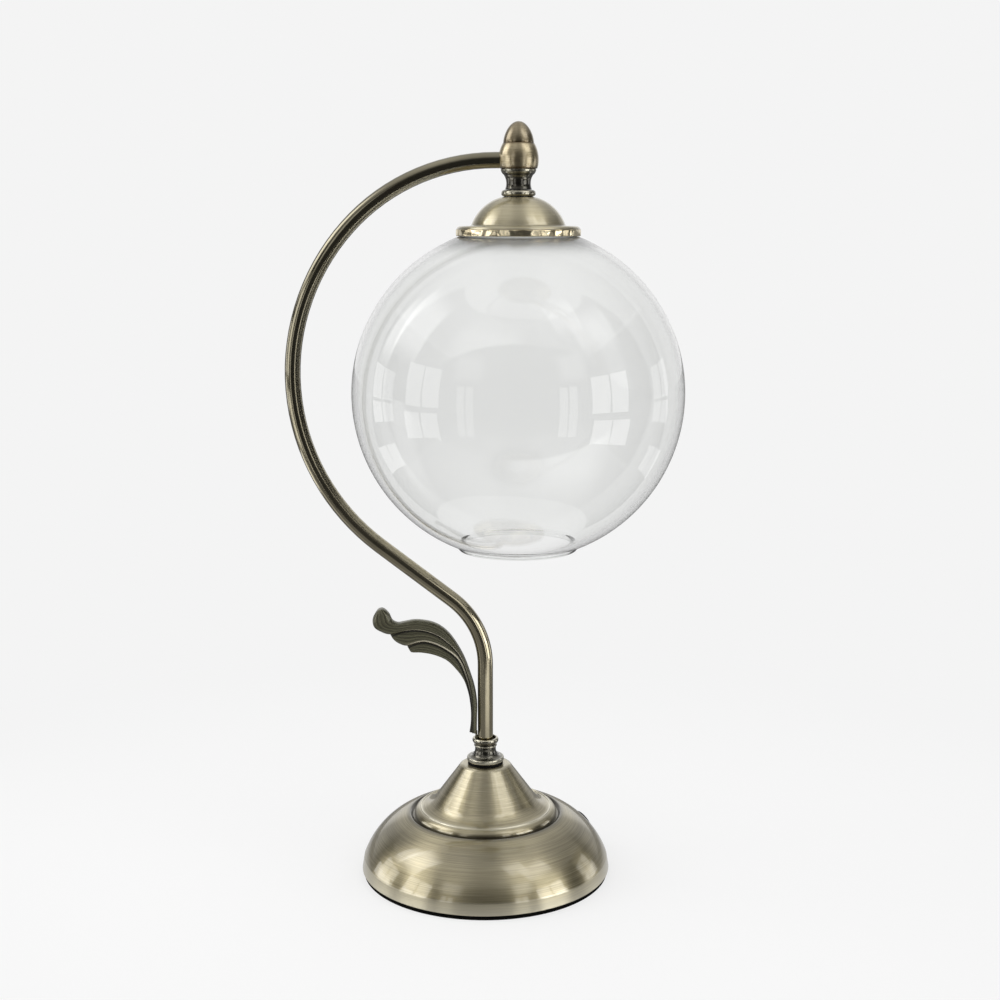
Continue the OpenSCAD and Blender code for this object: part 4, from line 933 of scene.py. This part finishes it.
def makeWorld(s):
    # Gloss and glass meet the pale backdrop behind and a dim room round about: light ceiling, darker walls
    world = bpy.data.worlds.new("studioAir")
    bpy.context.scene.world = world
    world.use_nodes = True
    world.node_tree.nodes.clear()
    rays = addNode(world, "LightPath")
    x, y, z = addNode(world, "SeparateXYZ", {0: addNode(world, "TexCoord").outputs["Generated"]}).outputs

    def blendValues(factor, first, second):
        return addNode(world, "Mix", {0: factor, 2: first, 3: second}, data_type="FLOAT").outputs[0]

    toSide = reckon(world, "MULTIPLY", reckon(world, "ABSOLUTE", x), s["sideWall"])
    toFront = reckon(world, "MULTIPLY", reckon(world, "ABSOLUTE", y), s["farWall"])
    overWall = reckon(world, "SUBTRACT", reckon(world, "MULTIPLY", z, s["sideWall"] * s["farWall"]),
                      reckon(world, "MAXIMUM", toSide, toFront))
    isCeiling = mapped(world, overWall, (-s["wallEdge"], s["wallEdge"]), (s["wallShare"], 1))
    lift = mapped(world, z, s["ceilingSpan"], (s["horizon"], s["ceiling"]))
    cove = mapped(world, reckon(world, "ABSOLUTE", overWall), (s["coveWidth"], 0), (0, s["cove"]))
    onSide = reckon(world, "GREATER_THAN", toSide, toFront)
    sides = reckon(world, "MULTIPLY_ADD", cove, onSide, reckon(world, "MULTIPLY", isCeiling, lift))
    behind = mapped(world, y, s["behindSpan"], smooth=True)
    beside = mapped(world, y, s["besideSpan"], (0, s["backShare"]), smooth=True)
    walls = blendValues(beside, sides, s["pale"])
    # The camera and whoever holds it stand as a dim strip in front
    strip = mapped(world, reckon(world, "ABSOLUTE", x), s["stripSpan"], (s["frontShare"], 1), smooth=True)
    front = mapped(world, y, s["frontSpan"], (strip, 1))
    room = blendValues(behind, reckon(world, "MULTIPLY", walls, front), s["pale"])
    mirrored, plain, pale = [addNode(world, "Background", {"Color": grey(1), "Strength": strength}).outputs[0]
                             for strength in (room, s["ambient"], s["pale"])]
    other = mixShaders(world, sharpRays(world, rays), plain, mirrored)
    whole = mixShaders(world, paleRays(world, rays, y, s["backFrom"]), other, pale)
    addNode(world, "OutputWorld", {"Surface": whole})


def softenLamp(lamp, edges):  # its light fades towards the edges of the pane
    lamp.use_nodes = True
    half = 0.5
    across = addNode(lamp, "SeparateXYZ", {0: addNode(lamp, "NewGeometry").outputs["Parametric"]}).outputs
    fades = []
    for place, edge in zip(across, edges):
        away = reckon(lamp, "ABSOLUTE", reckon(lamp, "SUBTRACT", place, half))
        fades.append(mapped(lamp, away, (half, half - edge), smooth=True))
    setSockets(lamp, lamp.node_tree.nodes["Emission"], {"Strength": reckon(lamp, "MULTIPLY", *fades)})


def makeLamps(boxes, s):
    # Each box is a window of panes with bars between, all in degrees as seen from the lamp
    for box in boxes:
        across, up = box.get("panes", (1, 1))
        wide = (box["wide"] - s["bar"] * (across - 1)) / across
        high = (box["high"] - box["low"] - s["bar"] * (up - 1)) / up
        for column in range(across):
            for row in range(up):
                turn = radians(box["turn"] + (column - (across - 1) / 2) * (wide + s["bar"]))
                rise = radians(box["low"] + high / 2 + row * (high + s["bar"]))
                way = Vector((sin(turn) * cos(rise), -cos(turn) * cos(rise), sin(rise)))
                reach = s["distance"]
                if reach * sin(-rise) > s["drop"]:  # it comes nearer, to stay above the floor
                    reach = s["drop"] / sin(-rise)
                deselectAll()
                bpy.ops.object.light_add(type="AREA", location=Vector(s["centre"]) + way * reach)
                lamp = bpy.context.object
                lamp.name = "softBox%d" % len(bpy.data.lights)
                lamp.rotation_euler = (-way).to_track_quat("-Z", "Y").to_euler()
                lamp.data.shape = "RECTANGLE"
                lamp.data.size = 2 * reach * sin(radians(wide / 2))
                lamp.data.size_y = 2 * reach * sin(radians(high / 2))
                lamp.data.energy = box["bright"] * pi * lamp.data.size * lamp.data.size_y
                lamp.visible_camera = lamp.visible_transmission = False
                if "soft" in box:
                    softenLamp(lamp.data, box["soft"])


def makeCamera(s):
    deselectAll()
    bpy.ops.object.camera_add(location=[v * mm for v in s["place"]], rotation=(radians(s["tilt"]), 0, 0))
    camera = bpy.context.object
    camera.data.sensor_width = 36
    camera.data.lens = s["lens"]
    camera.data.clip_start = 0.01
    bpy.context.scene.camera = camera


makeFloor(studio)
makeWorld(studio)
makeLamps(softBoxes, windows)
makeCamera(cameraSizes)
bpy.context.scene.view_settings.view_transform = "Standard"
print("studio is lit")
